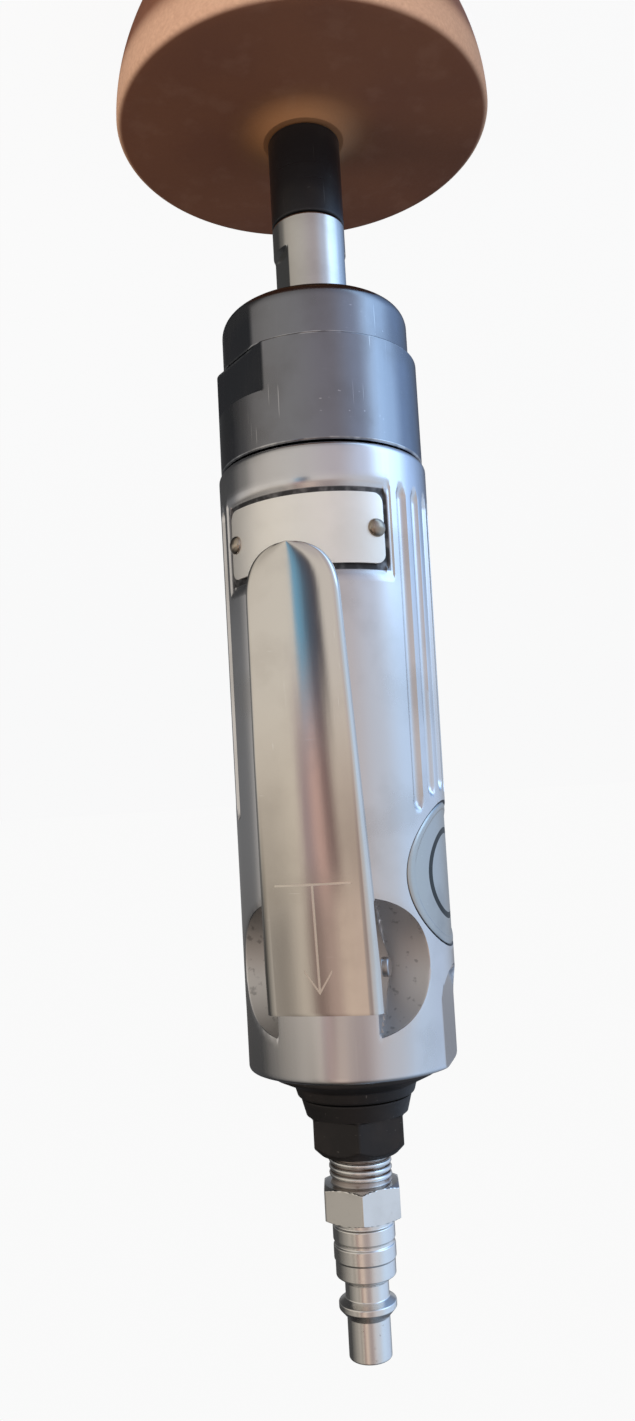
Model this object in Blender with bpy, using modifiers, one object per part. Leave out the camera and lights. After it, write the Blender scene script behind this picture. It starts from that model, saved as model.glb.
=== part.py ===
"""Inline air tool with a planetary reduction that turns a rubber eraser wheel.

The tool axis is Z. The wheel's flat front face lies at z = 0 and the air plug points up.
The throttle lever faces -Y. Every piece is its own object, in metres.
"""

import math

import bmesh
import bpy
from mathutils import Matrix, Vector

MM = 0.001

# Clearances
FIT = 0.3 * MM
SKIN = 0.02 * MM

# Facets round a large, a middle and a small turned piece, a pin, and along a curved band
LARGE_STEPS = 36
MIDDLE_STEPS = 24
SMALL_STEPS = 16
PIN_STEPS = 12
BAND_STEPS = 12
FILLET_STEPS = 3
WELD = 0.001 * MM

# Eraser wheel
WHEEL_R = 44.0 * MM
WHEEL_WIDTH = 29.0 * MM
WHEEL_FACE_R = 36.0 * MM
WHEEL_CROWN_POWER = 1.9
WHEEL_CROWN_STEPS = 6
WHEEL_SHOULDER = 1.4 * MM
HUB_R = 12.0 * MM
HUB_RISE = 2.0 * MM
HUB_FILLET = 1.2 * MM
NUT_RECESS_R = 14.0 * MM
NUT_RECESS_DEPTH = 8.6 * MM

# Arbor that carries the wheel, with its nut and washer
ARBOR_R = 8.5 * MM
ARBOR_LENGTH = 22.0 * MM
ARBOR_STEM_R = 4.8 * MM
STUD_R = 4.0 * MM
STUD_LENGTH = 10.0 * MM
NUT_ACROSS_FLATS = 16.0 * MM
NUT_HEIGHT = 5.0 * MM
WASHER_R = 10.5 * MM
WASHER_THICKNESS = 1.5 * MM
STEM_PAST_NUT = 1.0 * MM

# Output spindle and its planet carrier
SPINDLE_R = 8.5 * MM
SPINDLE_NOSE = 23.2 * MM
SPINDLE_FLATS = 14.0 * MM
SPINDLE_FLAT_LENGTH = 14.0 * MM
SPINDLE_FLAT_SETBACK = 2.0 * MM
SPINDLE_FLAT_ANGLE = math.radians(56.0)
JOURNAL_R = 7.5 * MM
CARRIER_MARGIN = 2.9 * MM
CARRIER_THICKNESS = 6.0 * MM
CARRIER_GAP = 1.0 * MM
CHAMFER = 0.6 * MM

# Front collar, seal and ball bearing
COLLAR_STEP = 1.6 * MM
COLLAR_LENGTH = 13.0 * MM
COLLAR_ROUND = 4.0 * MM
COLLAR_SPIGOT_STEP = 1.675 * MM
COLLAR_SPIGOT_LENGTH = 3.0 * MM
SEAL_WALL = 2.0 * MM
SEAL_WIDTH = 2.4 * MM
SEAL_INSET = 0.5 * MM
FRONT_LIP = 3.4 * MM
BEARING_R = 14.0 * MM
BEARING_WIDTH = 8.6 * MM
BEARING_RING_WALL = 1.5 * MM
BALL_R = 1.4 * MM
BALL_COUNT = 8
BALL_PHASE = 0.37
BALL_STEPS = (6, 4)
CAGE_WALL = 0.8 * MM
CAGE_WIDTH = 4.4 * MM

# Gear case and planetary stage
CASE_STEP = 0.6 * MM
CASE_LENGTH = 24.2 * MM
CASE_FLAT_DEPTH = 2.4 * MM
CASE_FLAT_LENGTH = 10.7 * MM
CASE_FLAT_ANGLE = math.radians(42.0)
CASE_SPIGOT_LENGTH = 5.0 * MM
CASE_SPIGOT_STEP = 1.4 * MM
CASE_SPIGOT_WALL = 1.725 * MM
SUN_TEETH = 12
PLANET_TEETH = 18
RING_TEETH = SUN_TEETH + 2 * PLANET_TEETH
PLANET_COUNT = 3
GEAR_WIDTH = 14.0 * MM
GEAR_END_GAP = 0.6 * MM
PRESSURE_ANGLE = math.radians(20.0)
TOOTH_ADDENDUM = 0.8
TOOTH_DEDENDUM = 1.25
TOOTH_BACKLASH = 0.1 * MM
RING_WALL = 1.7 * MM
PLANET_PIN_R = 2.0 * MM

# Vane motor
END_PLATE_THICKNESS = 7.0 * MM
ROTOR_SHAFT_R = 5.0 * MM
ROTOR_BEARING_R = 8.5 * MM
ROTOR_BEARING_WIDTH = 5.0 * MM
VANE_COUNT = 5
VANE_THICKNESS = 1.3 * MM
VANE_HEIGHT = 6.0 * MM
ROTOR_ARC_STEPS = 7
LINER_WALL = 2.5 * MM
LINER_OFFSET = 1.6 * MM
LINER_PIN_R = 1.0 * MM
LINER_PIN_LENGTH = 12.0 * MM
LINER_SLOT_WIDTH = 2.0 * MM
LINER_SLOT_HEIGHT = 8.0 * MM
LINER_SLOT_COUNT = 3

# Aluminium housing
HOUSING_FRONT_R = 23.7 * MM
HOUSING_TAPER = 0.9 * MM
HOUSING_WALL = 3.4 * MM
MOTOR_END_WALL = 10.7 * MM
HOUSING_LENGTH = 131.4 * MM
HOUSING_SHOULDER = 1.6 * MM
HOUSING_REAR_CHAMFER = 1.2 * MM
GROOVE_COUNT = 6
GROOVE_PITCH = math.radians(12.5)
GROOVE_WIDTH = 3.0 * MM
GROOVE_DEPTH = 1.0 * MM
GROOVE_SETBACK = 9.1 * MM
GROOVE_TO_BADGE = 2.6 * MM
GROOVE_ARC_LIMIT = 0.9
GROOVE_STEPS = (8, 5)
FLAT_DEPTH = 1.5 * MM
FLAT_LENGTH = 20.5 * MM
FLAT_END_STEPS = 10

# Name plate with its two rivets, left bare
PANEL_SETBACK = 8.6 * MM
PANEL_HEIGHT = 20.5 * MM
PANEL_HALF_ANGLE = math.radians(51.0)
PANEL_DEPTH = 0.35 * MM
RECESS_MARGIN = 1.9 * MM
RECESS_HALF_ANGLE = math.radians(48.0)
RECESS_DEPTH = 0.9 * MM
PLATE_THICKNESS = 0.5 * MM
PLATE_MARGIN = 0.7 * MM
PLATE_HALF_ANGLE = math.radians(46.0)
RIVET_ANGLE = math.radians(41.5)
RIVET_HEAD_R = 1.7 * MM
RIVET_HEAD_HEIGHT = 0.9 * MM
RIVET_STEM_R = 0.8 * MM
RIVET_STEM_LENGTH = 1.6 * MM
RIVET_DOME_STEPS = 3

# Round side badge, left bare
BADGE_R = 15.2 * MM
BADGE_THICKNESS = 0.5 * MM
BADGE_RECESS_DEPTH = 1.0 * MM
BADGE_FROM_REAR = 39.8 * MM

# Throttle lever, its pin and the pockets beside it
PIVOT_FROM_REAR = 22.3 * MM
PIVOT_DEPTH = 4.8 * MM
LEVER_PIN_R = 2.0 * MM
PIN_PAST_EAR = 0.9 * MM
WEB_WIDTH = 21.0 * MM
POCKET_R = 15.0 * MM
POCKET_AXIS_OUT = 3.5 * MM
LEVER_REACH = 85.5 * MM
LEVER_TAIL = 8.5 * MM
LEVER_THICKNESS = 1.2 * MM
LEVER_TIP_WIDTH = 19.0 * MM
LEVER_PIVOT_RISE = 2.6 * MM
LEVER_TIP_RISE = 9.3 * MM
LEVER_CROWN = 1.0 * MM
LEVER_CORNER = 1.4 * MM
LEVER_TIP_FLANGE = 2.4 * MM
LEVER_PIVOT_FLANGE = 4.2 * MM
LEVER_TIP_ROUND = 11.0 * MM
LEVER_TIP_POWER = 2.5
LEVER_EAR_SPAN = 18.7 * MM
LEVER_EAR_STEPS = 8
LEVER_PLAIN_STEPS = 5
LEVER_TIP_STEPS = 6
LEVER_CROWN_STEPS = 3
LEVER_CORNER_SHARE = 0.3
EAR_R = 4.4 * MM
EAR_SPREAD = 5.5 * MM

# Throttle valve under the lever
VALVE_FROM_PIVOT = 22.5 * MM
VALVE_BORE_R = 6.2 * MM
VALVE_BORE_END_Y = 5.8 * MM
GUIDE_TOP_INSET = 0.6 * MM
GUIDE_LENGTH = 10.0 * MM
STEM_R = 1.8 * MM
VALVE_HEAD_R = 4.6 * MM
VALVE_HEAD_THICKNESS = 2.5 * MM
SEAL_RING_R = 0.6 * MM
SEAL_GROOVE_DEPTH = 1.3 * MM
SPRING_R = 3.4 * MM
SPRING_WIRE_R = 0.5 * MM
SPRING_TURNS = 6
SPRING_POINTS_PER_TURN = 8
SEAL_RING_STEPS = 6
AIR_PASSAGE_R = 3.0 * MM
AIR_PASSAGE_Y = 2.0 * MM
INLET_PASSAGE_R = 5.0 * MM

# Rear cap, silencer, inlet bushing and screen
CAP_R = 18.0 * MM
CAP_NECK_R = 12.6 * MM
CAP_LENGTH = 6.0 * MM
CAP_RIM = 1.4 * MM
SILENCER_R = 17.0 * MM
SILENCER_WIDTH = 4.6 * MM
SILENCER_WALL = 5.0 * MM
BUSHING_SPIGOT_R = 8.5 * MM
BUSHING_SPIGOT_LENGTH = 17.0 * MM
BUSHING_R = 11.0 * MM
BUSHING_ROUND_LENGTH = 3.6 * MM
BUSHING_HEX = 19.0 * MM
REAR_HEX_TURN = math.radians(16.0)
BUSHING_HEX_LENGTH = 8.3 * MM
BUSHING_BORE_R = 4.5 * MM
SCREEN_THICKNESS = 0.9 * MM
SCREEN_HOLE_R = 0.9 * MM
SCREEN_HOLE_RING_R = 3.6 * MM
SCREEN_HOLE_COUNT = 6
SCREEN_HOLE_STEPS = 8
SOCKET_DEPTH = 13.5 * MM

# Air plug
PLUG_THREAD_R = 6.8 * MM
PLUG_THREAD_TAPER = 0.4 * MM
PLUG_THREAD_SHOWN = 6.2 * MM
PLUG_HEX = 15.9 * MM
PLUG_HEX_LENGTH = 7.1 * MM
PLUG_BODY_R = 6.65 * MM
PLUG_BODY_LENGTH = 8.5 * MM
PLUG_LAND_LENGTH = 3.4 * MM
PLUG_LAND_STEP = 0.25 * MM
PLUG_NECK_R = 4.65 * MM
PLUG_NECK_LENGTH = 4.6 * MM
PLUG_FLANGE_R = 6.15 * MM
PLUG_FLANGE_LENGTH = 3.4 * MM
PLUG_TIP_R = 4.55 * MM
PLUG_TIP_LENGTH = 8.5 * MM
PLUG_BORE_R = 3.0 * MM

# Heights along the tool axis
Z_WHEEL_BACK = WHEEL_WIDTH
Z_HUB = Z_WHEEL_BACK + HUB_RISE
Z_SPINDLE = Z_HUB + ARBOR_LENGTH
Z_COLLAR = Z_SPINDLE + SPINDLE_NOSE
Z_CASE = Z_COLLAR + COLLAR_LENGTH
Z_HOUSING = Z_CASE + CASE_LENGTH
Z_REAR = Z_HOUSING + HOUSING_LENGTH
Z_SEAL = Z_COLLAR + SEAL_INSET
Z_BEARING = Z_COLLAR + FRONT_LIP + FIT
Z_BEARING_END = Z_BEARING + BEARING_WIDTH
Z_CARRIER = Z_CASE + COLLAR_SPIGOT_LENGTH + CARRIER_GAP
Z_CARRIER_END = Z_CARRIER + CARRIER_THICKNESS
Z_GEARS = Z_CARRIER_END + GEAR_END_GAP
Z_GEARS_END = Z_GEARS + GEAR_WIDTH
Z_FRONT_PLATE = Z_GEARS_END + GEAR_END_GAP
Z_LINER = Z_FRONT_PLATE + END_PLATE_THICKNESS + FIT
Z_PIVOT = Z_REAR - PIVOT_FROM_REAR
Z_VALVE = Z_PIVOT - VALVE_FROM_PIVOT
Z_MOTOR_END = Z_VALVE - VALVE_BORE_R - MOTOR_END_WALL
Z_REAR_PLATE_END = Z_MOTOR_END - FIT
Z_REAR_PLATE = Z_REAR_PLATE_END - END_PLATE_THICKNESS
LINER_LENGTH = Z_REAR_PLATE - FIT - Z_LINER
ROTOR_LENGTH = LINER_LENGTH - 2 * FIT
Z_BADGE = Z_REAR - BADGE_FROM_REAR
Z_CAP = Z_REAR + FIT
Z_BUSHING = Z_CAP + CAP_LENGTH + FIT
Z_BUSHING_HEX = Z_BUSHING + BUSHING_ROUND_LENGTH
Z_BUSHING_END = Z_BUSHING_HEX + BUSHING_HEX_LENGTH
Z_SOCKET = Z_BUSHING_END - SOCKET_DEPTH
Z_PLUG = Z_SOCKET + SCREEN_THICKNESS + 2 * FIT
Z_PLUG_HEX = Z_BUSHING_END + PLUG_THREAD_SHOWN
Z_PANEL = Z_HOUSING + PANEL_SETBACK

# Radii and depths that follow from the housing and the clearance
HOUSING_REAR_R = HOUSING_FRONT_R - HOUSING_TAPER
CASE_R = HOUSING_FRONT_R - CASE_STEP
COLLAR_R = CASE_R - COLLAR_STEP
MOTOR_BORE_R = HOUSING_FRONT_R - HOUSING_WALL
LINER_R = MOTOR_BORE_R - FIT
LINER_BORE_R = LINER_R - LINER_WALL - LINER_OFFSET
ROTOR_R = LINER_BORE_R - LINER_OFFSET - FIT
CASE_SPIGOT_R = MOTOR_BORE_R + CASE_SPIGOT_STEP - FIT
CASE_BORE_R = CASE_SPIGOT_R - CASE_SPIGOT_WALL
COLLAR_SPIGOT_R = CASE_BORE_R - COLLAR_SPIGOT_STEP
RING_OUTER_R = CASE_BORE_R - FIT
GEAR_MODULE = (RING_OUTER_R - RING_WALL) / (RING_TEETH / 2 + TOOTH_DEDENDUM)
PIVOT_Y = PIVOT_DEPTH - HOUSING_REAR_R
POCKET_AXIS_Y = -HOUSING_REAR_R - POCKET_AXIS_OUT
LEVER_PIVOT_Y = -HOUSING_REAR_R - LEVER_PIVOT_RISE
LEVER_TIP_Y = -HOUSING_FRONT_R - LEVER_TIP_RISE
SUN_PITCH_R = GEAR_MODULE * SUN_TEETH / 2
PLANET_PITCH_R = GEAR_MODULE * PLANET_TEETH / 2
RING_PITCH_R = GEAR_MODULE * RING_TEETH / 2
CARRIER_ARM = SUN_PITCH_R + PLANET_PITCH_R
CARRIER_R = CARRIER_ARM + PLANET_PIN_R + CARRIER_MARGIN
EAR_INNER_X = WEB_WIDTH / 2 + FIT
EAR_OUTER_X = EAR_INNER_X + LEVER_THICKNESS
LEVER_PLAN = [LEVER_TIP_WIDTH / 2, EAR_OUTER_X]

PARTS = None
CUTTERS = None


# Scene, collections and materials

def clear_scene():
    """Remove every object that the file holds."""
    for item in list(bpy.data.objects):
        bpy.data.objects.remove(item, do_unlink=True)


def make_collection(name):
    """Add a collection under the scene."""
    collection = bpy.data.collections.new(name)
    bpy.context.scene.collection.children.link(collection)
    return collection


def finish(name, colour, roughness, metallic):
    """Make a Principled material for one piece."""
    material = bpy.data.materials.new(name)
    material.use_nodes = True
    shader = material.node_tree.nodes["Principled BSDF"]
    shader.inputs["Base Color"].default_value = (*colour, 1.0)
    shader.inputs["Roughness"].default_value = roughness
    shader.inputs["Metallic"].default_value = metallic
    return material


FINISHES = {
    "rubber": ((0.24, 0.12, 0.07), 0.85, 0.0),
    "black_steel": ((0.03, 0.03, 0.035), 0.4, 0.9),
    "bright_steel": ((0.6, 0.59, 0.57), 0.3, 1.0),
    "gear_steel": ((0.3, 0.3, 0.31), 0.4, 1.0),
    "aluminium": ((0.75, 0.75, 0.77), 0.3, 1.0),
    "stainless": ((0.68, 0.65, 0.6), 0.18, 1.0),
    "seal_rubber": ((0.02, 0.02, 0.02), 0.7, 0.0),
    "brass": ((0.7, 0.5, 0.22), 0.35, 1.0),
    "vane_fibre": ((0.22, 0.13, 0.06), 0.7, 0.0),
    "felt": ((0.35, 0.33, 0.3), 0.95, 0.0),
}


def add_part(name, mesh, finish_name, location=(0.0, 0.0, 0.0)):
    """Put a mesh in the parts collection under its own name and material."""
    colour, roughness, metallic = FINISHES[finish_name]
    part = bpy.data.objects.new(name, mesh)
    part.location = location
    mesh.materials.clear()
    mesh.materials.append(finish(name, colour, roughness, metallic))
    PARTS.objects.link(part)
    return part


def add_cutter(name, mesh, matrix=None):
    """Put a mesh in the cutters collection, hidden from the render."""
    cutter = bpy.data.objects.new(name, mesh)
    cutter.hide_render = True
    cutter.display_type = "WIRE"
    if matrix is not None:
        cutter.matrix_world = matrix
    CUTTERS.objects.link(cutter)
    return cutter


def apply_boolean(part, tool, operation="DIFFERENCE"):
    """Cut, join or trim a part with another mesh object."""
    modifier = part.modifiers.new(tool.name, "BOOLEAN")
    modifier.operation = operation
    modifier.object = tool
    return modifier


# Shapes

def profile_mesh(name, profile):
    """Make the edges of a turned profile from (radius, height) points.

    The points run down the outer side. A profile that ends on the axis stays open.
    """
    mesh = bpy.data.meshes.new(name)
    points = [(radius, 0.0, height) for radius, height in profile]
    edges = [(i, i + 1) for i in range(len(points) - 1)]
    if min(radius for radius, _ in profile) > 0.0:
        edges.append((len(points) - 1, 0))
    mesh.from_pydata(points, edges, [])
    return mesh


def add_screw(item, steps):
    """Turn an object's profile about its own Z axis."""
    screw = item.modifiers.new("Turn", "SCREW")
    screw.steps = steps
    screw.render_steps = steps
    screw.use_merge_vertices = True
    screw.merge_threshold = WELD
    return screw


def turned_part(name, profile, steps, finish_name, location=(0.0, 0.0, 0.0)):
    """Make a turned part from its profile."""
    part = add_part(name, profile_mesh(name, profile), finish_name, location)
    add_screw(part, steps)
    return part


def turned_cutter(name, profile, steps, matrix=None):
    """Make a turned cutter from its profile."""
    cutter = add_cutter(name, profile_mesh(name, profile), matrix)
    add_screw(cutter, steps)
    return cutter


def rod_cutter(name, radius, start, end, steps=SMALL_STEPS):
    """Make a round cutter from one point to another."""
    start = Vector(start)
    end = Vector(end)
    mesh = bpy.data.meshes.new(name)
    shape = bmesh.new()
    bmesh.ops.create_cone(shape, cap_ends=True, segments=steps, radius1=radius, radius2=radius,
                          depth=(end - start).length)
    shape.to_mesh(mesh)
    shape.free()
    turn = (end - start).to_track_quat("Z", "Y").to_matrix().to_4x4()
    return add_cutter(name, mesh, Matrix.Translation((start + end) / 2) @ turn)


def box_mesh(name, low, high):
    """Make a box between two corners."""
    mesh = bpy.data.meshes.new(name)
    shape = bmesh.new()
    bmesh.ops.create_cube(shape, size=1.0)
    for vertex in shape.verts:
        for axis in range(3):
            vertex.co[axis] = high[axis] if vertex.co[axis] > 0 else low[axis]
    shape.to_mesh(mesh)
    shape.free()
    return mesh


def circle(radius, steps, centre=(0.0, 0.0)):
    """Points of a circle in the XY plane."""
    turns = [2 * math.pi * i / steps for i in range(steps)]
    return [(centre[0] + radius * math.cos(a), centre[1] + radius * math.sin(a)) for a in turns]


def hexagon(across_flats, turn=0.0):
    """Corners of a hexagon with two flats square to Y, turned about Z."""
    corners = circle(across_flats / 2 / math.cos(math.pi / 6), 6)
    return [(x * math.cos(turn) - y * math.sin(turn), x * math.sin(turn) + y * math.cos(turn))
            for x, y in corners]


def prism_mesh(name, loops, bottom, top):
    """Extrude an outline, with any further loops as holes, from bottom to top."""
    curve = bpy.data.curves.new(name + "_outline", "CURVE")
    curve.dimensions = "2D"
    curve.fill_mode = "BOTH"
    curve.extrude = (top - bottom) / 2
    for loop in loops:
        spline = curve.splines.new("POLY")
        spline.points.add(len(loop) - 1)
        for point, (x, y) in zip(spline.points, loop):
            point.co = (x, y, 0.0, 1.0)
        spline.use_cyclic_u = True
    mesh = mesh_from_curve(name, curve)
    mesh.transform(Matrix.Translation((0.0, 0.0, (top + bottom) / 2)))
    return mesh


def mesh_from_curve(name, curve):
    """Turn a curve into a welded mesh and remove the curve."""
    holder = bpy.data.objects.new(name + "_curve", curve)
    bpy.context.scene.collection.objects.link(holder)
    evaluated = holder.evaluated_get(bpy.context.evaluated_depsgraph_get())
    mesh = bpy.data.meshes.new_from_object(evaluated)
    bpy.data.objects.remove(holder, do_unlink=True)
    shape = bmesh.new()
    shape.from_mesh(mesh)
    bmesh.ops.remove_doubles(shape, verts=shape.verts, dist=WELD)
    bmesh.ops.recalc_face_normals(shape, faces=shape.faces)
    shape.to_mesh(mesh)
    shape.free()
    mesh.name = name
    return mesh


def arc_band_mesh(name, inner_r, outer_r, bottom, top, half_angle, steps):
    """Sweep a rectangle round the tool axis, centred on the lever's side at -Y."""
    mesh = bpy.data.meshes.new(name)
    shape = bmesh.new()
    start = -math.pi / 2 - half_angle
    corners = [(inner_r, bottom), (outer_r, bottom), (outer_r, top), (inner_r, top)]
    verts = [shape.verts.new((r * math.cos(start), r * math.sin(start), z)) for r, z in corners]
    face = shape.faces.new(verts)
    bmesh.ops.spin(shape, geom=[face, *face.edges, *verts], cent=(0, 0, 0), axis=(0, 0, 1),
                   angle=2 * half_angle, steps=steps)
    bmesh.ops.recalc_face_normals(shape, faces=shape.faces)
    shape.to_mesh(mesh)
    shape.free()
    return mesh


def side_matrix(angle, radius, height):
    """Frame whose Z points out from the tool axis, at an angle from the lever's side."""
    out = Vector((math.sin(angle), -math.cos(angle), 0.0))
    along = Vector((0.0, 0.0, 1.0))
    across = along.cross(out)
    frame = Matrix((across, along, out)).transposed().to_4x4()
    return Matrix.Translation(out * radius + along * height) @ frame


def arc_points(centre, radius, start, end, steps):
    """Points of an arc in a profile, from one angle to another."""
    turns = [start + (end - start) * i / steps for i in range(steps + 1)]
    return [(centre[0] + radius * math.cos(a), centre[1] + radius * math.sin(a)) for a in turns]


# Wheel, arbor and their fasteners

def wheel_rim():
    """Crowned rim from the back edge down to the flat front face."""
    top = Z_WHEEL_BACK - WHEEL_SHOULDER
    drop = WHEEL_R - WHEEL_FACE_R
    rim = []
    for i in range(WHEEL_CROWN_STEPS + 1):
        share = i / WHEEL_CROWN_STEPS
        rim.append((WHEEL_R - drop * share ** WHEEL_CROWN_POWER, top * (1 - share)))
    return rim


def build_wheel():
    """Rubber wheel with a hub boss behind and a nut recess in front."""
    bore = ARBOR_STEM_R + FIT
    fillet = arc_points((HUB_R + HUB_FILLET, Z_WHEEL_BACK + HUB_FILLET), HUB_FILLET,
                        math.pi, 1.5 * math.pi, FILLET_STEPS)
    profile = [(bore, Z_HUB), (HUB_R - CHAMFER, Z_HUB), (HUB_R, Z_HUB - CHAMFER)]
    profile += fillet
    profile.append((WHEEL_R - WHEEL_SHOULDER, Z_WHEEL_BACK))
    profile += wheel_rim()
    profile += [(NUT_RECESS_R, 0.0), (NUT_RECESS_R, NUT_RECESS_DEPTH), (bore, NUT_RECESS_DEPTH)]
    turned_part("eraser_wheel", profile, LARGE_STEPS, "rubber")


def build_arbor():
    """Black arbor between spindle and wheel, with washer and nut in the wheel's recess."""
    washer_top = NUT_RECESS_DEPTH - FIT
    washer_bottom = washer_top - WASHER_THICKNESS
    nut_top = washer_bottom - FIT
    nut_bottom = nut_top - NUT_HEIGHT
    stem_end = nut_bottom - STEM_PAST_NUT
    bore = STUD_R + FIT
    bottom = Z_HUB + FIT
    profile = [(bore, Z_SPINDLE), (ARBOR_R - CHAMFER, Z_SPINDLE), (ARBOR_R, Z_SPINDLE - CHAMFER),
               (ARBOR_R, bottom), (ARBOR_STEM_R, bottom), (ARBOR_STEM_R, stem_end + CHAMFER),
               (ARBOR_STEM_R - CHAMFER, stem_end), (0.0, stem_end)]
    socket_end = Z_SPINDLE - STUD_LENGTH - FIT
    profile = [(0.0, socket_end), (bore, socket_end)] + profile
    turned_part("wheel_arbor", profile, SMALL_STEPS, "black_steel")
    hole = circle(ARBOR_STEM_R + FIT, SMALL_STEPS)
    loops = [circle(WASHER_R, SMALL_STEPS), hole]
    washer = prism_mesh("wheel_washer", loops, washer_bottom, washer_top)
    add_part("wheel_washer", washer, "bright_steel")
    nut = prism_mesh("wheel_nut", [hexagon(NUT_ACROSS_FLATS), hole], nut_bottom, nut_top)
    add_part("wheel_nut", nut, "bright_steel")


# Spindle, collar, seal and bearing

def build_spindle():
    """Output spindle with wrench flats, bearing journal and planet carrier."""
    nose = Z_SPINDLE + FIT
    nose_end = Z_BEARING - FIT
    profile = [(0.0, Z_CARRIER_END), (CARRIER_R - CHAMFER, Z_CARRIER_END),
               (CARRIER_R, Z_CARRIER_END - CHAMFER), (CARRIER_R, Z_CARRIER),
               (SPINDLE_R, Z_CARRIER), (SPINDLE_R, Z_BEARING_END + FIT),
               (JOURNAL_R, Z_BEARING_END + FIT), (JOURNAL_R, nose_end),
               (SPINDLE_R, nose_end), (SPINDLE_R, nose + CHAMFER), (SPINDLE_R - CHAMFER, nose),
               (STUD_R, nose), (STUD_R, Z_SPINDLE - STUD_LENGTH), (0.0, Z_SPINDLE - STUD_LENGTH)]
    spindle = turned_part("output_spindle", profile, MIDDLE_STEPS, "bright_steel")
    top = Z_COLLAR - SPINDLE_FLAT_SETBACK
    bottom = top - SPINDLE_FLAT_LENGTH
    for side in (-1, 1):
        name = "spindle_flat_" + ("right" if side > 0 else "left")
        near = side * SPINDLE_FLATS / 2
        far = side * (SPINDLE_R + CHAMFER)
        low = (min(near, far), -SPINDLE_R - CHAMFER, bottom)
        high = (max(near, far), SPINDLE_R + CHAMFER, top)
        turn = Matrix.Rotation(SPINDLE_FLAT_ANGLE - math.pi / 2, 4, "Z")
        apply_boolean(spindle, add_cutter(name, box_mesh(name, low, high), turn))
    for i in range(PLANET_COUNT):
        x, y = planet_centre(i)
        hole = rod_cutter(f"carrier_hole_{i + 1}", PLANET_PIN_R + FIT,
                          (x, y, Z_CARRIER - CHAMFER), (x, y, Z_CARRIER_END + CHAMFER))
        apply_boolean(spindle, hole)


def milled_flats():
    """Two wrench flats that are milled across the collar and the gear case together."""
    cutters = []
    for i in range(2):
        name = f"milled_flat_{i + 1}"
        if name not in bpy.data.objects:
            low = (-CASE_R, Z_COLLAR - CHAMFER, CASE_R - CASE_FLAT_DEPTH)
            high = (CASE_R, Z_CASE + CASE_FLAT_LENGTH, CASE_R + CHAMFER)
            turn = side_matrix(CASE_FLAT_ANGLE + i * math.pi, 0.0, 0.0)
            add_cutter(name, box_mesh(name, low, high), turn)
        cutters.append(bpy.data.objects[name])
    return cutters


def build_collar():
    """Black front collar with a rounded nose, the seal and the spindle's ball bearing."""
    pocket = BEARING_R + FIT
    seal_r = SPINDLE_R + FIT + SEAL_WALL
    seat = Z_CASE - FIT
    spigot_end = Z_CASE + COLLAR_SPIGOT_LENGTH
    nose_centre = (COLLAR_R - COLLAR_ROUND, Z_COLLAR + COLLAR_ROUND)
    nose = arc_points(nose_centre, COLLAR_ROUND, 0.0, -math.pi / 2, FILLET_STEPS)
    profile = [(pocket, spigot_end), (COLLAR_SPIGOT_R, spigot_end), (COLLAR_SPIGOT_R, seat),
               (COLLAR_R - CHAMFER, seat), (COLLAR_R, seat - CHAMFER)]
    profile += nose
    profile += [(seal_r + FIT, Z_COLLAR), (seal_r + FIT, Z_BEARING - FIT), (pocket, Z_BEARING - FIT)]
    collar = turned_part("front_collar", profile, LARGE_STEPS, "black_steel")
    for cutter in milled_flats():
        apply_boolean(collar, cutter)
    seal = [(SPINDLE_R + FIT, Z_SEAL + SEAL_WIDTH), (seal_r, Z_SEAL + SEAL_WIDTH),
            (seal_r, Z_SEAL), (SPINDLE_R + FIT, Z_SEAL)]
    turned_part("spindle_seal", seal, SMALL_STEPS, "seal_rubber")


def build_bearing():
    """Ball bearing of the spindle: two rings, and the balls in their cage."""
    outer_bore = BEARING_R - BEARING_RING_WALL
    inner_bore = JOURNAL_R + FIT
    inner_r = inner_bore + BEARING_RING_WALL
    rings = {"bearing_outer_ring": (outer_bore, BEARING_R), "bearing_inner_ring": (inner_bore, inner_r)}
    for name, (low_r, high_r) in rings.items():
        profile = [(low_r, Z_BEARING_END), (high_r, Z_BEARING_END), (high_r, Z_BEARING),
                   (low_r, Z_BEARING)]
        turned_part(name, profile, MIDDLE_STEPS, "gear_steel")
    middle_r = (inner_r + outer_bore) / 2
    middle_z = (Z_BEARING + Z_BEARING_END) / 2
    wall = CAGE_WALL / 2
    profile = [(middle_r - wall, CAGE_WIDTH / 2), (middle_r + wall, CAGE_WIDTH / 2),
               (middle_r + wall, -CAGE_WIDTH / 2), (middle_r - wall, -CAGE_WIDTH / 2)]
    cage = turned_part("bearing_cage", profile, SMALL_STEPS, "brass", (0.0, 0.0, middle_z))
    for i in range(BALL_COUNT):
        turn = 2 * math.pi * (i + BALL_PHASE) / BALL_COUNT
        mesh = bpy.data.meshes.new("ball")
        shape = bmesh.new()
        bmesh.ops.create_uvsphere(shape, u_segments=BALL_STEPS[0], v_segments=BALL_STEPS[1], radius=BALL_R)
        shape.to_mesh(mesh)
        shape.free()
        place = Matrix.Translation((middle_r * math.cos(turn), middle_r * math.sin(turn), middle_z))
        apply_boolean(cage, add_cutter(f"ball_{i + 1}", mesh, place), "UNION")


# Gear case and planetary stage

def planet_centre(index):
    """Centre of a planet gear at rest."""
    turn = 2 * math.pi * index / PLANET_COUNT
    return CARRIER_ARM * math.cos(turn), CARRIER_ARM * math.sin(turn)


def involute(angle):
    """Involute function of a pressure angle."""
    return math.tan(angle) - angle


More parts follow.
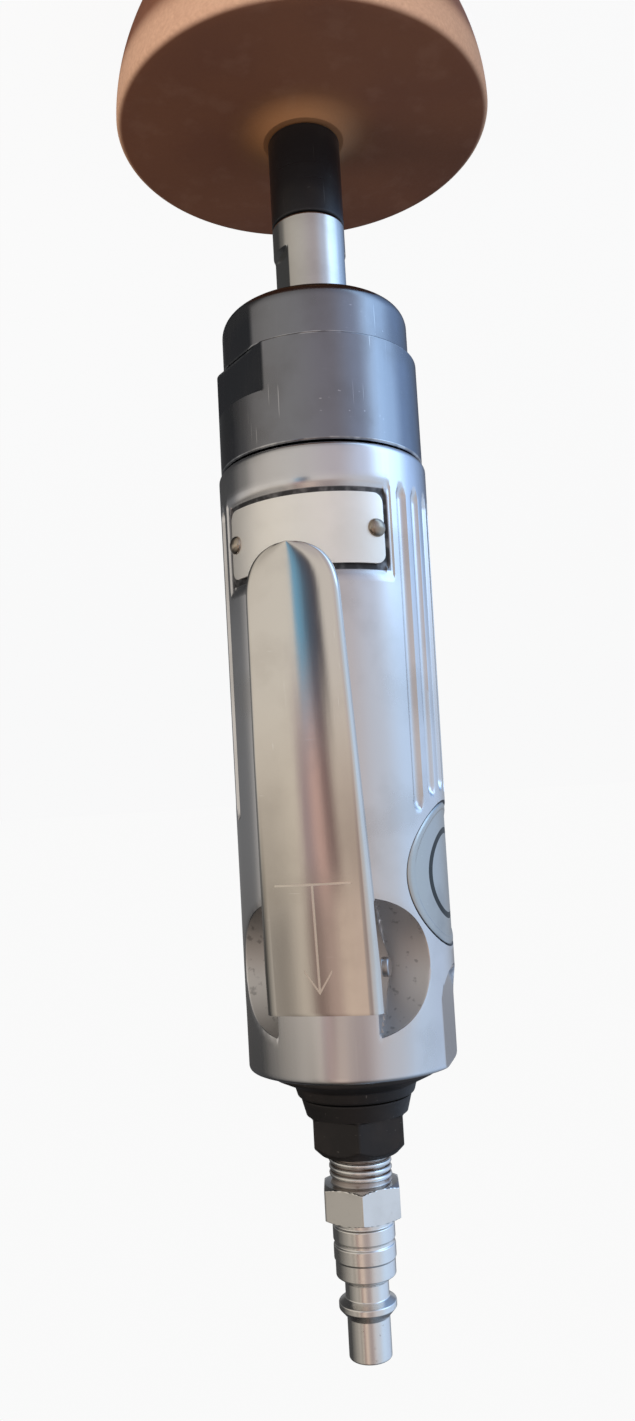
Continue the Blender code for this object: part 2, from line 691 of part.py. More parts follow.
def tooth_half_angle(teeth, radius, slack):
    """Half angle of a tooth, or of a ring gear's tooth space, at a radius."""
    pitch_r = GEAR_MODULE * teeth / 2
    base_r = pitch_r * math.cos(PRESSURE_ANGLE)
    at_radius = math.acos(min(1.0, base_r / radius))
    whole = math.pi / (2 * teeth) + involute(PRESSURE_ANGLE) - involute(at_radius)
    return whole + slack / (2 * pitch_r)


def gear_outline(teeth, inner_r, outer_r, slack, phase):
    """Outline of a gear whose teeth, or tooth spaces, reach from one radius to another."""
    base_r = GEAR_MODULE * teeth / 2 * math.cos(PRESSURE_ANGLE)
    low_r = max(inner_r, base_r)
    flank = [inner_r, (low_r + outer_r) / 2, outer_r]
    points = []
    for i in range(teeth):
        middle = phase + 2 * math.pi * i / teeth
        for radius in flank:
            turn = middle - tooth_half_angle(teeth, max(radius, base_r), slack)
            points.append((radius * math.cos(turn), radius * math.sin(turn)))
        for radius in reversed(flank):
            turn = middle + tooth_half_angle(teeth, max(radius, base_r), slack)
            points.append((radius * math.cos(turn), radius * math.sin(turn)))
    return points


def external_gear(teeth, phase):
    """Outline of a sun or planet gear, thinned by the backlash."""
    pitch_r = GEAR_MODULE * teeth / 2
    root_r = pitch_r - TOOTH_DEDENDUM * GEAR_MODULE
    tip_r = pitch_r + TOOTH_ADDENDUM * GEAR_MODULE
    return gear_outline(teeth, root_r, tip_r, -TOOTH_BACKLASH, phase)


def build_gear_case():
    """Black gear case with two wrench flats and a spigot that enters the housing."""
    spigot_end = Z_HOUSING + CASE_SPIGOT_LENGTH
    step = Z_CASE + COLLAR_SPIGOT_LENGTH + FIT
    seat = Z_HOUSING - FIT
    profile = [(CASE_BORE_R, spigot_end), (CASE_SPIGOT_R, spigot_end), (CASE_SPIGOT_R, seat),
               (CASE_R - CHAMFER, seat), (CASE_R, seat - CHAMFER), (CASE_R, Z_CASE + CHAMFER),
               (CASE_R - CHAMFER, Z_CASE), (COLLAR_SPIGOT_R + FIT, Z_CASE),
               (COLLAR_SPIGOT_R + FIT, step), (CASE_BORE_R, step)]
    case = turned_part("gear_case", profile, LARGE_STEPS, "black_steel")
    for cutter in milled_flats():
        apply_boolean(case, cutter)


def build_gears():
    """Ring gear, planet gears and the pins that carry them."""
    ring_root_r = RING_PITCH_R + TOOTH_DEDENDUM * GEAR_MODULE
    ring_tip_r = RING_PITCH_R - TOOTH_ADDENDUM * GEAR_MODULE
    spaces = gear_outline(RING_TEETH, ring_tip_r, ring_root_r, TOOTH_BACKLASH, math.pi / RING_TEETH)
    ring = prism_mesh("ring_gear", [circle(RING_OUTER_R, LARGE_STEPS), spaces], Z_GEARS, Z_GEARS_END)
    add_part("ring_gear", ring, "gear_steel")
    bore = circle(PLANET_PIN_R + FIT, SMALL_STEPS)
    for i in range(PLANET_COUNT):
        x, y = planet_centre(i)
        phase = math.atan2(y, x) + math.pi / PLANET_TEETH
        name = f"planet_gear_{i + 1}"
        gear = prism_mesh(name, [external_gear(PLANET_TEETH, phase), bore], 0.0, GEAR_WIDTH)
        add_part(name, gear, "gear_steel", (x, y, Z_GEARS))
        pin = bpy.data.meshes.new(f"planet_pin_{i + 1}")
        length = CARRIER_THICKNESS + GEAR_END_GAP + GEAR_WIDTH
        shape = bmesh.new()
        bmesh.ops.create_cone(shape, cap_ends=True, segments=SMALL_STEPS, radius1=PLANET_PIN_R,
                              radius2=PLANET_PIN_R, depth=length)
        shape.to_mesh(pin)
        shape.free()
        add_part(pin.name, pin, "bright_steel", (x, y, Z_CARRIER + length / 2))


# Vane motor

def rotor_outline():
    """Section of the rotor, with a slot for each vane."""
    half = VANE_THICKNESS / 2 + FIT
    floor_r = ROTOR_R - VANE_HEIGHT - FIT
    lip = math.asin(half / ROTOR_R)
    pitch = 2 * math.pi / VANE_COUNT
    points = []
    for i in range(VANE_COUNT):
        middle = i * pitch
        out = Vector((math.cos(middle), math.sin(middle)))
        across = Vector((-out.y, out.x))
        for offset in (-half, half):
            points.append(tuple(out * floor_r + across * offset))
        for step in range(ROTOR_ARC_STEPS + 1):
            turn = middle + lip + (pitch - 2 * lip) * step / ROTOR_ARC_STEPS
            points.append((ROTOR_R * math.cos(turn), ROTOR_R * math.sin(turn)))
    return points


def build_rotor():
    """Rotor with its shaft and sun pinion in one piece, and the vanes in its slots."""
    bottom = Z_LINER + FIT
    top = bottom + ROTOR_LENGTH
    rotor = add_part("rotor", prism_mesh("rotor", [rotor_outline()], bottom, top), "gear_steel")
    shaft_end = Z_REAR_PLATE_END - FIT
    shaft = [(0.0, shaft_end), (ROTOR_SHAFT_R - CHAMFER, shaft_end),
             (ROTOR_SHAFT_R, shaft_end - CHAMFER), (ROTOR_SHAFT_R, Z_GEARS_END + FIT),
             (0.0, Z_GEARS_END + FIT)]
    apply_boolean(rotor, turned_cutter("rotor_shaft", shaft, SMALL_STEPS), "UNION")
    sun = prism_mesh("sun_pinion", [external_gear(SUN_TEETH, 0.0)], Z_GEARS, Z_FRONT_PLATE)
    apply_boolean(rotor, add_cutter("sun_pinion", sun), "UNION")
    for i in range(VANE_COUNT):
        name = f"vane_{i + 1}"
        low = (ROTOR_R - VANE_HEIGHT, -VANE_THICKNESS / 2, 0.0)
        high = (ROTOR_R - SKIN, VANE_THICKNESS / 2, ROTOR_LENGTH)
        vane = add_part(name, box_mesh(name, low, high), "vane_fibre", (0.0, 0.0, bottom))
        vane.rotation_euler.z = 2 * math.pi * i / VANE_COUNT


def build_end_plates():
    """Front and rear end plates with the rotor's bearings in them."""
    hole = ROTOR_SHAFT_R + 2 * FIT
    pocket = ROTOR_BEARING_R + FIT
    depth = ROTOR_BEARING_WIDTH + FIT
    half = END_PLATE_THICKNESS / 2
    inner = half - depth
    plate_r = {"front_end_plate": CASE_BORE_R - FIT, "rear_end_plate": LINER_R}
    plate_z = {"front_end_plate": Z_FRONT_PLATE + half, "rear_end_plate": Z_REAR_PLATE + half}
    for name, radius in plate_r.items():
        side = -1 if name == "front_end_plate" else 1
        profile = [(pocket, half), (radius, half), (radius, -half), (hole, -half),
                   (hole, inner), (pocket, inner)]
        if side < 0:
            profile = [(r, -z) for r, z in reversed(profile)]
        plate = turned_part(name, profile, MIDDLE_STEPS, "gear_steel", (0.0, 0.0, plate_z[name]))
        if side > 0:
            apply_boolean(plate, liner_pin_cutter())
        ring_end = half - ROTOR_BEARING_WIDTH
        ring = [(ROTOR_SHAFT_R + FIT, half), (ROTOR_BEARING_R, half), (ROTOR_BEARING_R, ring_end),
                (ROTOR_SHAFT_R + FIT, ring_end)]
        if side < 0:
            ring = [(r, -z) for r, z in reversed(ring)]
        bearing = "rotor_bearing_front" if side < 0 else "rotor_bearing_rear"
        turned_part(bearing, ring, SMALL_STEPS, "bright_steel", (0.0, 0.0, plate_z[name]))


def liner_pin_place():
    """Centre of the locating pin, in the thick side of the liner."""
    thick_middle = (LINER_BORE_R - LINER_OFFSET + LINER_R) / 2
    return -thick_middle, 0.0, Z_REAR_PLATE


def liner_pin_cutter():
    """Hole that the locating pin enters in the liner and the rear end plate."""
    if "liner_pin_hole" in bpy.data.objects:
        return bpy.data.objects["liner_pin_hole"]
    x, y, z = liner_pin_place()
    reach = LINER_PIN_LENGTH / 2 + FIT
    return rod_cutter("liner_pin_hole", LINER_PIN_R + FIT, (x, y, z - reach), (x, y, z + reach))


def build_liner():
    """Cylinder liner with its bore set off the axis, exhaust slots and locating pin."""
    loops = [circle(LINER_R, LARGE_STEPS), circle(LINER_BORE_R, MIDDLE_STEPS, (LINER_OFFSET, 0.0))]
    mesh = prism_mesh("cylinder_liner", loops, Z_LINER, Z_LINER + LINER_LENGTH)
    liner = add_part("cylinder_liner", mesh, "gear_steel")
    apply_boolean(liner, liner_pin_cutter())
    pitch = LINER_LENGTH / (LINER_SLOT_COUNT + 1)
    for i in range(LINER_SLOT_COUNT):
        name = f"exhaust_slot_{i + 1}"
        middle = Z_LINER + pitch * (i + 1)
        low = (-LINER_SLOT_WIDTH / 2, LINER_BORE_R / 2, middle - LINER_SLOT_HEIGHT / 2)
        high = (LINER_SLOT_WIDTH / 2, LINER_R + FIT, middle + LINER_SLOT_HEIGHT / 2)
        apply_boolean(liner, add_cutter(name, box_mesh(name, low, high)))
    x, y, z = liner_pin_place()
    pin = bpy.data.meshes.new("liner_pin")
    shape = bmesh.new()
    bmesh.ops.create_cone(shape, cap_ends=True, segments=PIN_STEPS, radius1=LINER_PIN_R,
                          radius2=LINER_PIN_R, depth=LINER_PIN_LENGTH)
    shape.to_mesh(pin)
    shape.free()
    add_part("liner_pin", pin, "bright_steel", (x, y, z))


# Housing

def housing_r(height):
    """Outer radius of the housing at a height: a straight taper."""
    share = (height - Z_HOUSING) / HOUSING_LENGTH
    return HOUSING_FRONT_R + (HOUSING_REAR_R - HOUSING_FRONT_R) * share


def housing_profile():
    """Section of the housing: rounded shoulder, motor bore, inlet bore and silencer groove."""
    front_bore = CASE_SPIGOT_R + FIT
    front_step = Z_HOUSING + CASE_SPIGOT_LENGTH + FIT
    inlet_r = BUSHING_SPIGOT_R + FIT
    inlet_step = Z_BUSHING - BUSHING_SPIGOT_LENGTH - FIT
    groove_floor = Z_REAR - SILENCER_WIDTH - FIT
    groove_in = SILENCER_R - SILENCER_WALL - FIT
    groove_out = SILENCER_R + FIT
    shoulder_z = Z_HOUSING + HOUSING_SHOULDER
    shoulder = arc_points((housing_r(shoulder_z) - HOUSING_SHOULDER, shoulder_z), HOUSING_SHOULDER,
                          0.0, -math.pi / 2, FILLET_STEPS)
    rear = Z_REAR - HOUSING_REAR_CHAMFER
    profile = [(INLET_PASSAGE_R, inlet_step), (inlet_r, inlet_step), (inlet_r, Z_REAR),
               (groove_in, Z_REAR), (groove_in, groove_floor), (groove_out, groove_floor),
               (groove_out, Z_REAR), (housing_r(Z_REAR) - HOUSING_REAR_CHAMFER, Z_REAR),
               (housing_r(rear), rear)]
    profile += shoulder
    profile += [(front_bore, Z_HOUSING), (front_bore, front_step), (MOTOR_BORE_R, front_step),
                (MOTOR_BORE_R, Z_MOTOR_END), (0.0, Z_MOTOR_END)]
    return [(0.0, Z_VALVE), (INLET_PASSAGE_R, Z_VALVE)] + profile


def capsule_mesh(name, radius, length):
    """Round bar along Z with ball ends, its first ball centre at the origin."""
    mesh = bpy.data.meshes.new(name)
    shape = bmesh.new()
    bmesh.ops.create_uvsphere(shape, u_segments=GROOVE_STEPS[0], v_segments=GROOVE_STEPS[1], radius=radius)
    for vertex in shape.verts:
        if vertex.co.z > 0:
            vertex.co.z += length
    shape.to_mesh(mesh)
    shape.free()
    return mesh


def cut_grooves(housing):
    """Long grip grooves on both sides, each ending short of the badge's circle."""
    radius = (GROOVE_WIDTH ** 2 / 4 + GROOVE_DEPTH ** 2) / (2 * GROOVE_DEPTH)
    keep_off = BADGE_R + FIT + GROOVE_TO_BADGE + GROOVE_WIDTH / 2
    start = Z_HOUSING + GROOVE_SETBACK + GROOVE_WIDTH / 2
    for side in (-1, 1):
        for i in range(GROOVE_COUNT):
            away = GROOVE_PITCH * (i - (GROOVE_COUNT - 1) / 2)
            arc = min(abs(away) * HOUSING_REAR_R, GROOVE_ARC_LIMIT * keep_off)
            end = Z_BADGE - math.sqrt(keep_off ** 2 - arc ** 2)
            turn = side * (math.pi / 2 + away)
            lift = radius - GROOVE_DEPTH
            low = side_matrix(turn, housing_r(start) + lift, start).translation
            high = side_matrix(turn, housing_r(end) + lift, end).translation
            name = f"groove_{'right' if side > 0 else 'left'}_{i + 1}"
            aim = (high - low).to_track_quat("Z", "Y").to_matrix().to_4x4()
            mesh = capsule_mesh(name, radius, (high - low).length)
            apply_boolean(housing, add_cutter(name, mesh, Matrix.Translation(low) @ aim))


def cut_plate_recess(housing):
    """Stepped recess of the name plate and the holes of its rivets."""
    outer = HOUSING_FRONT_R + CHAMFER
    top = Z_PANEL + PANEL_HEIGHT
    panel_floor = housing_r(Z_PANEL) - PANEL_DEPTH
    panel = arc_band_mesh("panel_recess", panel_floor, outer, Z_PANEL, top, PANEL_HALF_ANGLE, BAND_STEPS)
    apply_boolean(housing, add_cutter("panel_recess", panel))
    recess = arc_band_mesh("plate_recess", plate_floor_r(), outer, Z_PANEL + RECESS_MARGIN,
                           top - RECESS_MARGIN, RECESS_HALF_ANGLE, BAND_STEPS)
    apply_boolean(housing, add_cutter("plate_recess", recess))
    for side in (-1, 1):
        apply_boolean(housing, rivet_hole(side))


def cut_lever_pockets(housing):
    """Round pockets beside the lever's pivot, which leave the web between them."""
    for side in (-1, 1):
        name = "pocket_" + ("right" if side > 0 else "left")
        start = (side * WEB_WIDTH / 2, POCKET_AXIS_Y, Z_PIVOT)
        end = (side * (HOUSING_FRONT_R + CHAMFER), POCKET_AXIS_Y, Z_PIVOT)
        apply_boolean(housing, rod_cutter(name, POCKET_R, start, end, MIDDLE_STEPS))
    reach = EAR_OUTER_X + PIN_PAST_EAR
    hole = rod_cutter("pin_hole", LEVER_PIN_R + FIT, (-reach, PIVOT_Y, Z_PIVOT),
                      (reach, PIVOT_Y, Z_PIVOT), PIN_STEPS)
    apply_boolean(housing, hole)


def cut_side_flats(housing):
    """Flat with a round end on each side of the housing's rear."""
    plane = HOUSING_REAR_R - FLAT_DEPTH
    half = math.sqrt(HOUSING_REAR_R ** 2 - plane ** 2) + CHAMFER
    top = Z_REAR + CHAMFER
    bottom = Z_REAR - FLAT_LENGTH
    outline = [(half, top), (-half, top)]
    outline += arc_points((0.0, bottom + half), half, math.pi, 2 * math.pi, FLAT_END_STEPS)
    for i, side in enumerate((-1, 1)):
        name = f"rear_flat_{i + 1}"
        mesh = prism_mesh(name, [outline], plane, HOUSING_FRONT_R)
        apply_boolean(housing, add_cutter(name, mesh, side_matrix(side * math.pi / 2, 0.0, 0.0)))


def badge_band(name, inner_r, outer_r, radius):
    """Round piece of a cylinder's wall on the -X side, as a cutter or as the badge itself."""
    half_height = radius + CHAMFER
    ring = [(inner_r, half_height), (outer_r, half_height), (outer_r, -half_height),
            (inner_r, -half_height)]
    mesh = profile_mesh(name, ring)
    mesh.transform(Matrix.Translation((0.0, 0.0, Z_BADGE)))
    trim = rod_cutter(name + "_round", radius, (0.0, 0.0, Z_BADGE),
                      (-HOUSING_FRONT_R - 2 * CHAMFER, 0.0, Z_BADGE), MIDDLE_STEPS)
    return mesh, trim


def badge_floor_r():
    """Radius of the floor of the badge's recess."""
    return housing_r(Z_BADGE) - BADGE_RECESS_DEPTH


def cut_badge_recess(housing):
    """Shallow round recess that takes the badge."""
    mesh, trim = badge_band("badge_recess", badge_floor_r(), HOUSING_FRONT_R + CHAMFER, BADGE_R + FIT)
    cutter = add_cutter("badge_recess", mesh)
    add_screw(cutter, LARGE_STEPS)
    apply_boolean(cutter, trim, "INTERSECT")
    apply_boolean(housing, cutter)


def build_housing():
    """Aluminium housing with all its cuts."""
    housing = turned_part("housing", housing_profile(), LARGE_STEPS, "aluminium")
    valve_bore = rod_cutter("valve_bore", VALVE_BORE_R, (0.0, -HOUSING_FRONT_R - CHAMFER, Z_VALVE),
                            (0.0, VALVE_BORE_END_Y, Z_VALVE))
    apply_boolean(housing, valve_bore)
    passage = rod_cutter("air_passage", AIR_PASSAGE_R, (0.0, AIR_PASSAGE_Y, Z_MOTOR_END - CHAMFER),
                         (0.0, AIR_PASSAGE_Y, Z_VALVE), PIN_STEPS)
    apply_boolean(housing, passage)
    cut_lever_pockets(housing)
    cut_side_flats(housing)
    cut_badge_recess(housing)
    cut_plate_recess(housing)
    cut_grooves(housing)


# Name plate, rivets and badge

def plate_floor_r():
    """Radius of the floor under the name plate."""
    return housing_r(Z_PANEL) - RECESS_DEPTH


def plate_top_r():
    """Outer radius of the name plate."""
    return plate_floor_r() + FIT + PLATE_THICKNESS


def rivet_hole(side):
    """Hole for one rivet through the plate and into the housing."""
    name = "rivet_hole_" + ("right" if side > 0 else "left")
    if name in bpy.data.objects:
        return bpy.data.objects[name]
    middle = Z_PANEL + PANEL_HEIGHT / 2
    depth = plate_top_r() - RIVET_STEM_LENGTH - FIT
    start = side_matrix(side * RIVET_ANGLE, depth, middle).translation
    end = side_matrix(side * RIVET_ANGLE, HOUSING_FRONT_R + CHAMFER, middle).translation
    return rod_cutter(name, RIVET_STEM_R + FIT, start, end, PIN_STEPS)


def build_plate():
    """Bare name plate in its recess, held by two dome rivets."""
    margin = RECESS_MARGIN + PLATE_MARGIN
    mesh = arc_band_mesh("name_plate", plate_floor_r() + FIT, plate_top_r(), Z_PANEL + margin,
                         Z_PANEL + PANEL_HEIGHT - margin, PLATE_HALF_ANGLE, BAND_STEPS)
    plate = add_part("name_plate", mesh, "aluminium")
    head = plate_top_r() + FIT
    turns = [math.pi / 2 * i / RIVET_DOME_STEPS for i in range(RIVET_DOME_STEPS + 1)]
    dome = [(RIVET_HEAD_R * math.sin(a), RIVET_HEAD_HEIGHT * math.cos(a)) for a in turns]
    stem_end = -RIVET_STEM_LENGTH
    profile = dome + [(RIVET_STEM_R, 0.0), (RIVET_STEM_R, stem_end), (0.0, stem_end)]
    for side in (-1, 1):
        apply_boolean(plate, rivet_hole(side))
        name = "rivet_" + ("right" if side > 0 else "left")
        rivet = turned_part(name, profile, PIN_STEPS, "bright_steel")
        rivet.matrix_world = side_matrix(side * RIVET_ANGLE, head, Z_PANEL + PANEL_HEIGHT / 2)


def build_badge():
    """Bare round badge, curved like the housing's side."""
    inner = badge_floor_r() + FIT
    mesh, trim = badge_band("side_badge", inner, inner + BADGE_THICKNESS, BADGE_R)
    badge = add_part("side_badge", mesh, "stainless")
    add_screw(badge, LARGE_STEPS)
    apply_boolean(badge, trim, "INTERSECT")


# Lever and its pin

def lever_station(height):
    """Outer face, half width and flange depth of the lever at a height below the pivot."""
    share = height / LEVER_REACH
    face = LEVER_PIVOT_Y + (LEVER_TIP_Y - LEVER_PIVOT_Y) * share
    reach = max(0.0, min(1.0, share))
    width = LEVER_PLAN[1] + (LEVER_PLAN[0] - LEVER_PLAN[1]) * reach
    flange = LEVER_PIVOT_FLANGE + (LEVER_TIP_FLANGE - LEVER_PIVOT_FLANGE) * reach
    ear = PIVOT_Y + EAR_R - face
    flange += (ear - flange) * math.exp(-(height / EAR_SPREAD) ** 2)
    past_round = (height - (LEVER_REACH - LEVER_TIP_ROUND)) / LEVER_TIP_ROUND
    if past_round > 0:
        width *= (1 - past_round ** LEVER_TIP_POWER) ** (1 / LEVER_TIP_POWER)
        flange -= (flange - LEVER_CROWN - LEVER_CORNER) * past_round
    return face, width, flange


def lever_heights():
    """Stations from the tail past the pivot down to the round tip."""
    ears = [LEVER_EAR_SPAN * i / LEVER_EAR_STEPS - LEVER_TAIL for i in range(LEVER_EAR_STEPS + 1)]
    start = ears[-1]
    end = LEVER_REACH - LEVER_TIP_ROUND
    plain = [start + (end - start) * i / LEVER_PLAIN_STEPS for i in range(1, LEVER_PLAIN_STEPS + 1)]
    quarter = math.pi / 2 / (LEVER_TIP_STEPS + 1)
    tip = [end + LEVER_TIP_ROUND * math.sin(quarter * i) for i in range(1, LEVER_TIP_STEPS + 1)]
    return ears + plain + tip


def lever_section(face, width, flange):
    """Points across the lever, from one flange's edge over the crown to the other's."""
    corner = min(LEVER_CORNER, LEVER_CORNER_SHARE * width)
    flat = width - corner
    half = []
    for i in range(LEVER_CROWN_STEPS + 1):
        x = flat * i / LEVER_CROWN_STEPS
        half.append((x, face + LEVER_CROWN * (x / width) ** 2))
    shoulder = half[-1][1]
    eighth = math.pi / 4
    half.append((flat + corner * math.sin(eighth), shoulder + corner * (1 - math.cos(eighth))))
    half += [(width, shoulder + corner), (width, face + flange)]
    return [(-x, y) for x, y in reversed(half[1:])] + half


def build_lever():
    """Sheet steel throttle lever, a tapering channel with ears on the pivot pin."""
    mesh = bpy.data.meshes.new("throttle_lever")
    shape = bmesh.new()
    rows = []
    for height in lever_heights():
        section = lever_section(*lever_station(height))
        rows.append([shape.verts.new((x, y - PIVOT_Y, -height)) for x, y in section])
    for upper, lower in zip(rows, rows[1:]):
        for i in range(len(upper) - 1):
            shape.faces.new((upper[i], lower[i], lower[i + 1], upper[i + 1]))
    shape.to_mesh(mesh)
    shape.free()
    lever = add_part("throttle_lever", mesh, "stainless", (0.0, PIVOT_Y, Z_PIVOT))
    sheet = lever.modifiers.new("Sheet", "SOLIDIFY")
    sheet.thickness = LEVER_THICKNESS
    sheet.offset = -1.0
    sheet.use_even_offset = True
    reach = EAR_OUTER_X + CHAMFER
    hole = rod_cutter("ear_hole", LEVER_PIN_R + FIT, (-reach, PIVOT_Y, Z_PIVOT),
                      (reach, PIVOT_Y, Z_PIVOT), PIN_STEPS)
    apply_boolean(lever, hole)
    pin = bpy.data.meshes.new("lever_pin")
    shape = bmesh.new()
    bmesh.ops.create_cone(shape, cap_ends=True, segments=PIN_STEPS, radius1=LEVER_PIN_R,
                          radius2=LEVER_PIN_R, depth=2 * (EAR_OUTER_X + PIN_PAST_EAR))
    shape.to_mesh(pin)
    shape.free()
    pin_part = add_part("lever_pin", pin, "bright_steel", (0.0, PIVOT_Y, Z_PIVOT))
    pin_part.rotation_euler.y = math.pi / 2


# Throttle valve, all about the Y axis at the valve's height

def valve_frame():
    """Frame whose Z points out through the lever's side at the valve's height."""
    return side_matrix(0.0, 0.0, Z_VALVE)


def guide_ends():
    """Outer and inner end of the valve guide, as distances from the tool axis."""
    outer = housing_r(Z_VALVE) - GUIDE_TOP_INSET
    return outer, outer - GUIDE_LENGTH


def build_valve():
    """Valve guide with its seal ring, the stem, and the spring behind its head."""
    outer, inner = guide_ends()
    guide_r = VALVE_BORE_R - FIT
    hole = STEM_R + FIT
    groove_r = guide_r - SEAL_GROOVE_DEPTH
    middle = (outer + inner) / 2
    half = SEAL_RING_R + FIT
    profile = [(hole, outer), (guide_r, outer), (guide_r, middle + half), (groove_r, middle + half),
               (groove_r, middle - half), (guide_r, middle - half), (guide_r, inner), (hole, inner)]
    guide = turned_part("valve_guide", profile, SMALL_STEPS, "brass")
    guide.matrix_world = valve_frame()
    ring_centre = (guide_r - SEAL_GROOVE_DEPTH / 2, middle)
    ring = arc_points(ring_centre, SEAL_RING_R, 2 * math.pi, 0.0, SEAL_RING_STEPS)[:-1]
    seal = turned_part("valve_seal", ring, SMALL_STEPS, "seal_rubber")
    seal.matrix_world = valve_frame()
    face, _, _ = lever_station(VALVE_FROM_PIVOT)
    tip = -face - LEVER_THICKNESS - FIT
    head_top = inner - FIT
    head_end = head_top - VALVE_HEAD_THICKNESS
    dome = arc_points((0.0, tip - STEM_R), STEM_R, math.pi / 2, 0.0, FILLET_STEPS)
    profile = [(0.0, tip)] + dome[1:]
    profile += [(STEM_R, head_top), (VALVE_HEAD_R, head_top), (VALVE_HEAD_R, head_end), (0.0, head_end)]
    stem = turned_part("valve_stem", profile, SMALL_STEPS, "brass")
    stem.matrix_world = valve_frame()
    build_spring(head_end - FIT, -VALVE_BORE_END_Y + FIT)


def build_spring(outer_end, inner_end):
    """Valve spring as one wound wire between the stem's head and the bore's floor."""
    curve = bpy.data.curves.new("valve_spring", "CURVE")
    curve.dimensions = "3D"
    curve.bevel_depth = SPRING_WIRE_R
    curve.bevel_resolution = 1
    curve.use_fill_caps = True
    count = SPRING_TURNS * SPRING_POINTS_PER_TURN
    rise = outer_end - inner_end - 2 * SPRING_WIRE_R
    points = []
    for i in range(count + 1):
        turn = 2 * math.pi * i / SPRING_POINTS_PER_TURN
        points.append(Vector((SPRING_R * math.cos(turn), SPRING_R * math.sin(turn),
                              inner_end + SPRING_WIRE_R + rise * i / count)))
    spline = curve.splines.new("POLY")
    spline.points.add(count)
    for point, place in zip(spline.points, points):
        point.co = (*place, 1.0)
    apart = [(points[i] - points[j]).length for i in range(count + 1)
             for j in range(i + SPRING_POINTS_PER_TURN // 2, count + 1)]
    print(f"valve_spring least gap to itself: {(min(apart) - 2 * SPRING_WIRE_R) / MM:.2f} mm")
    spring = add_part("valve_spring", mesh_from_curve("valve_spring", curve), "bright_steel")
    spring.matrix_world = valve_frame()


# Rear cap, silencer, inlet bushing, screen and air plug

def build_rear():
    """Black rear cap over the silencer ring."""
    bore = BUSHING_SPIGOT_R + FIT
    top = Z_CAP + CAP_LENGTH
    profile = [(bore, top), (CAP_NECK_R - CHAMFER, top), (CAP_NECK_R, top - CHAMFER),
               (CAP_NECK_R + CHAMFER, Z_CAP + CAP_LENGTH / 2), (CAP_R, Z_CAP + CAP_RIM), (CAP_R, Z_CAP),
               (bore, Z_CAP)]
    turned_part("rear_cap", profile, MIDDLE_STEPS, "black_steel")
    inner = SILENCER_R - SILENCER_WALL
    bottom = Z_REAR - SILENCER_WIDTH
    ring = [(inner, Z_REAR), (SILENCER_R, Z_REAR), (SILENCER_R, bottom), (inner, bottom)]
    turned_part("silencer_ring", ring, MIDDLE_STEPS, "felt")


def build_bushing():
    """Black inlet bushing: spigot in the housing, round seat, and a hexagon for the wrench."""
    socket = PLUG_THREAD_R + FIT
    spigot_end = Z_BUSHING - BUSHING_SPIGOT_LENGTH
    profile = [(socket, Z_BUSHING_HEX), (BUSHING_R, Z_BUSHING_HEX), (BUSHING_R, Z_BUSHING),
               (BUSHING_SPIGOT_R, Z_BUSHING), (BUSHING_SPIGOT_R, spigot_end),
               (BUSHING_BORE_R, spigot_end), (BUSHING_BORE_R, Z_SOCKET), (socket, Z_SOCKET)]
    bushing = turned_part("inlet_bushing", profile, MIDDLE_STEPS, "black_steel")
    loops = [hexagon(BUSHING_HEX, REAR_HEX_TURN), circle(socket, MIDDLE_STEPS)]
    wrench = prism_mesh("bushing_hex", loops, Z_BUSHING_HEX - FIT, Z_BUSHING_END)
    apply_boolean(bushing, add_cutter("bushing_hex", wrench), "UNION")
    screen_r = socket - FIT
    loops = [circle(screen_r, SMALL_STEPS)]
    for i in range(SCREEN_HOLE_COUNT):
        turn = 2 * math.pi * i / SCREEN_HOLE_COUNT
        centre = (SCREEN_HOLE_RING_R * math.cos(turn), SCREEN_HOLE_RING_R * math.sin(turn))
        loops.append(circle(SCREEN_HOLE_R, SCREEN_HOLE_STEPS, centre))
    bottom = Z_SOCKET + FIT
    screen = prism_mesh("inlet_screen", loops, bottom, bottom + SCREEN_THICKNESS)
    add_part("inlet_screen", screen, "brass")


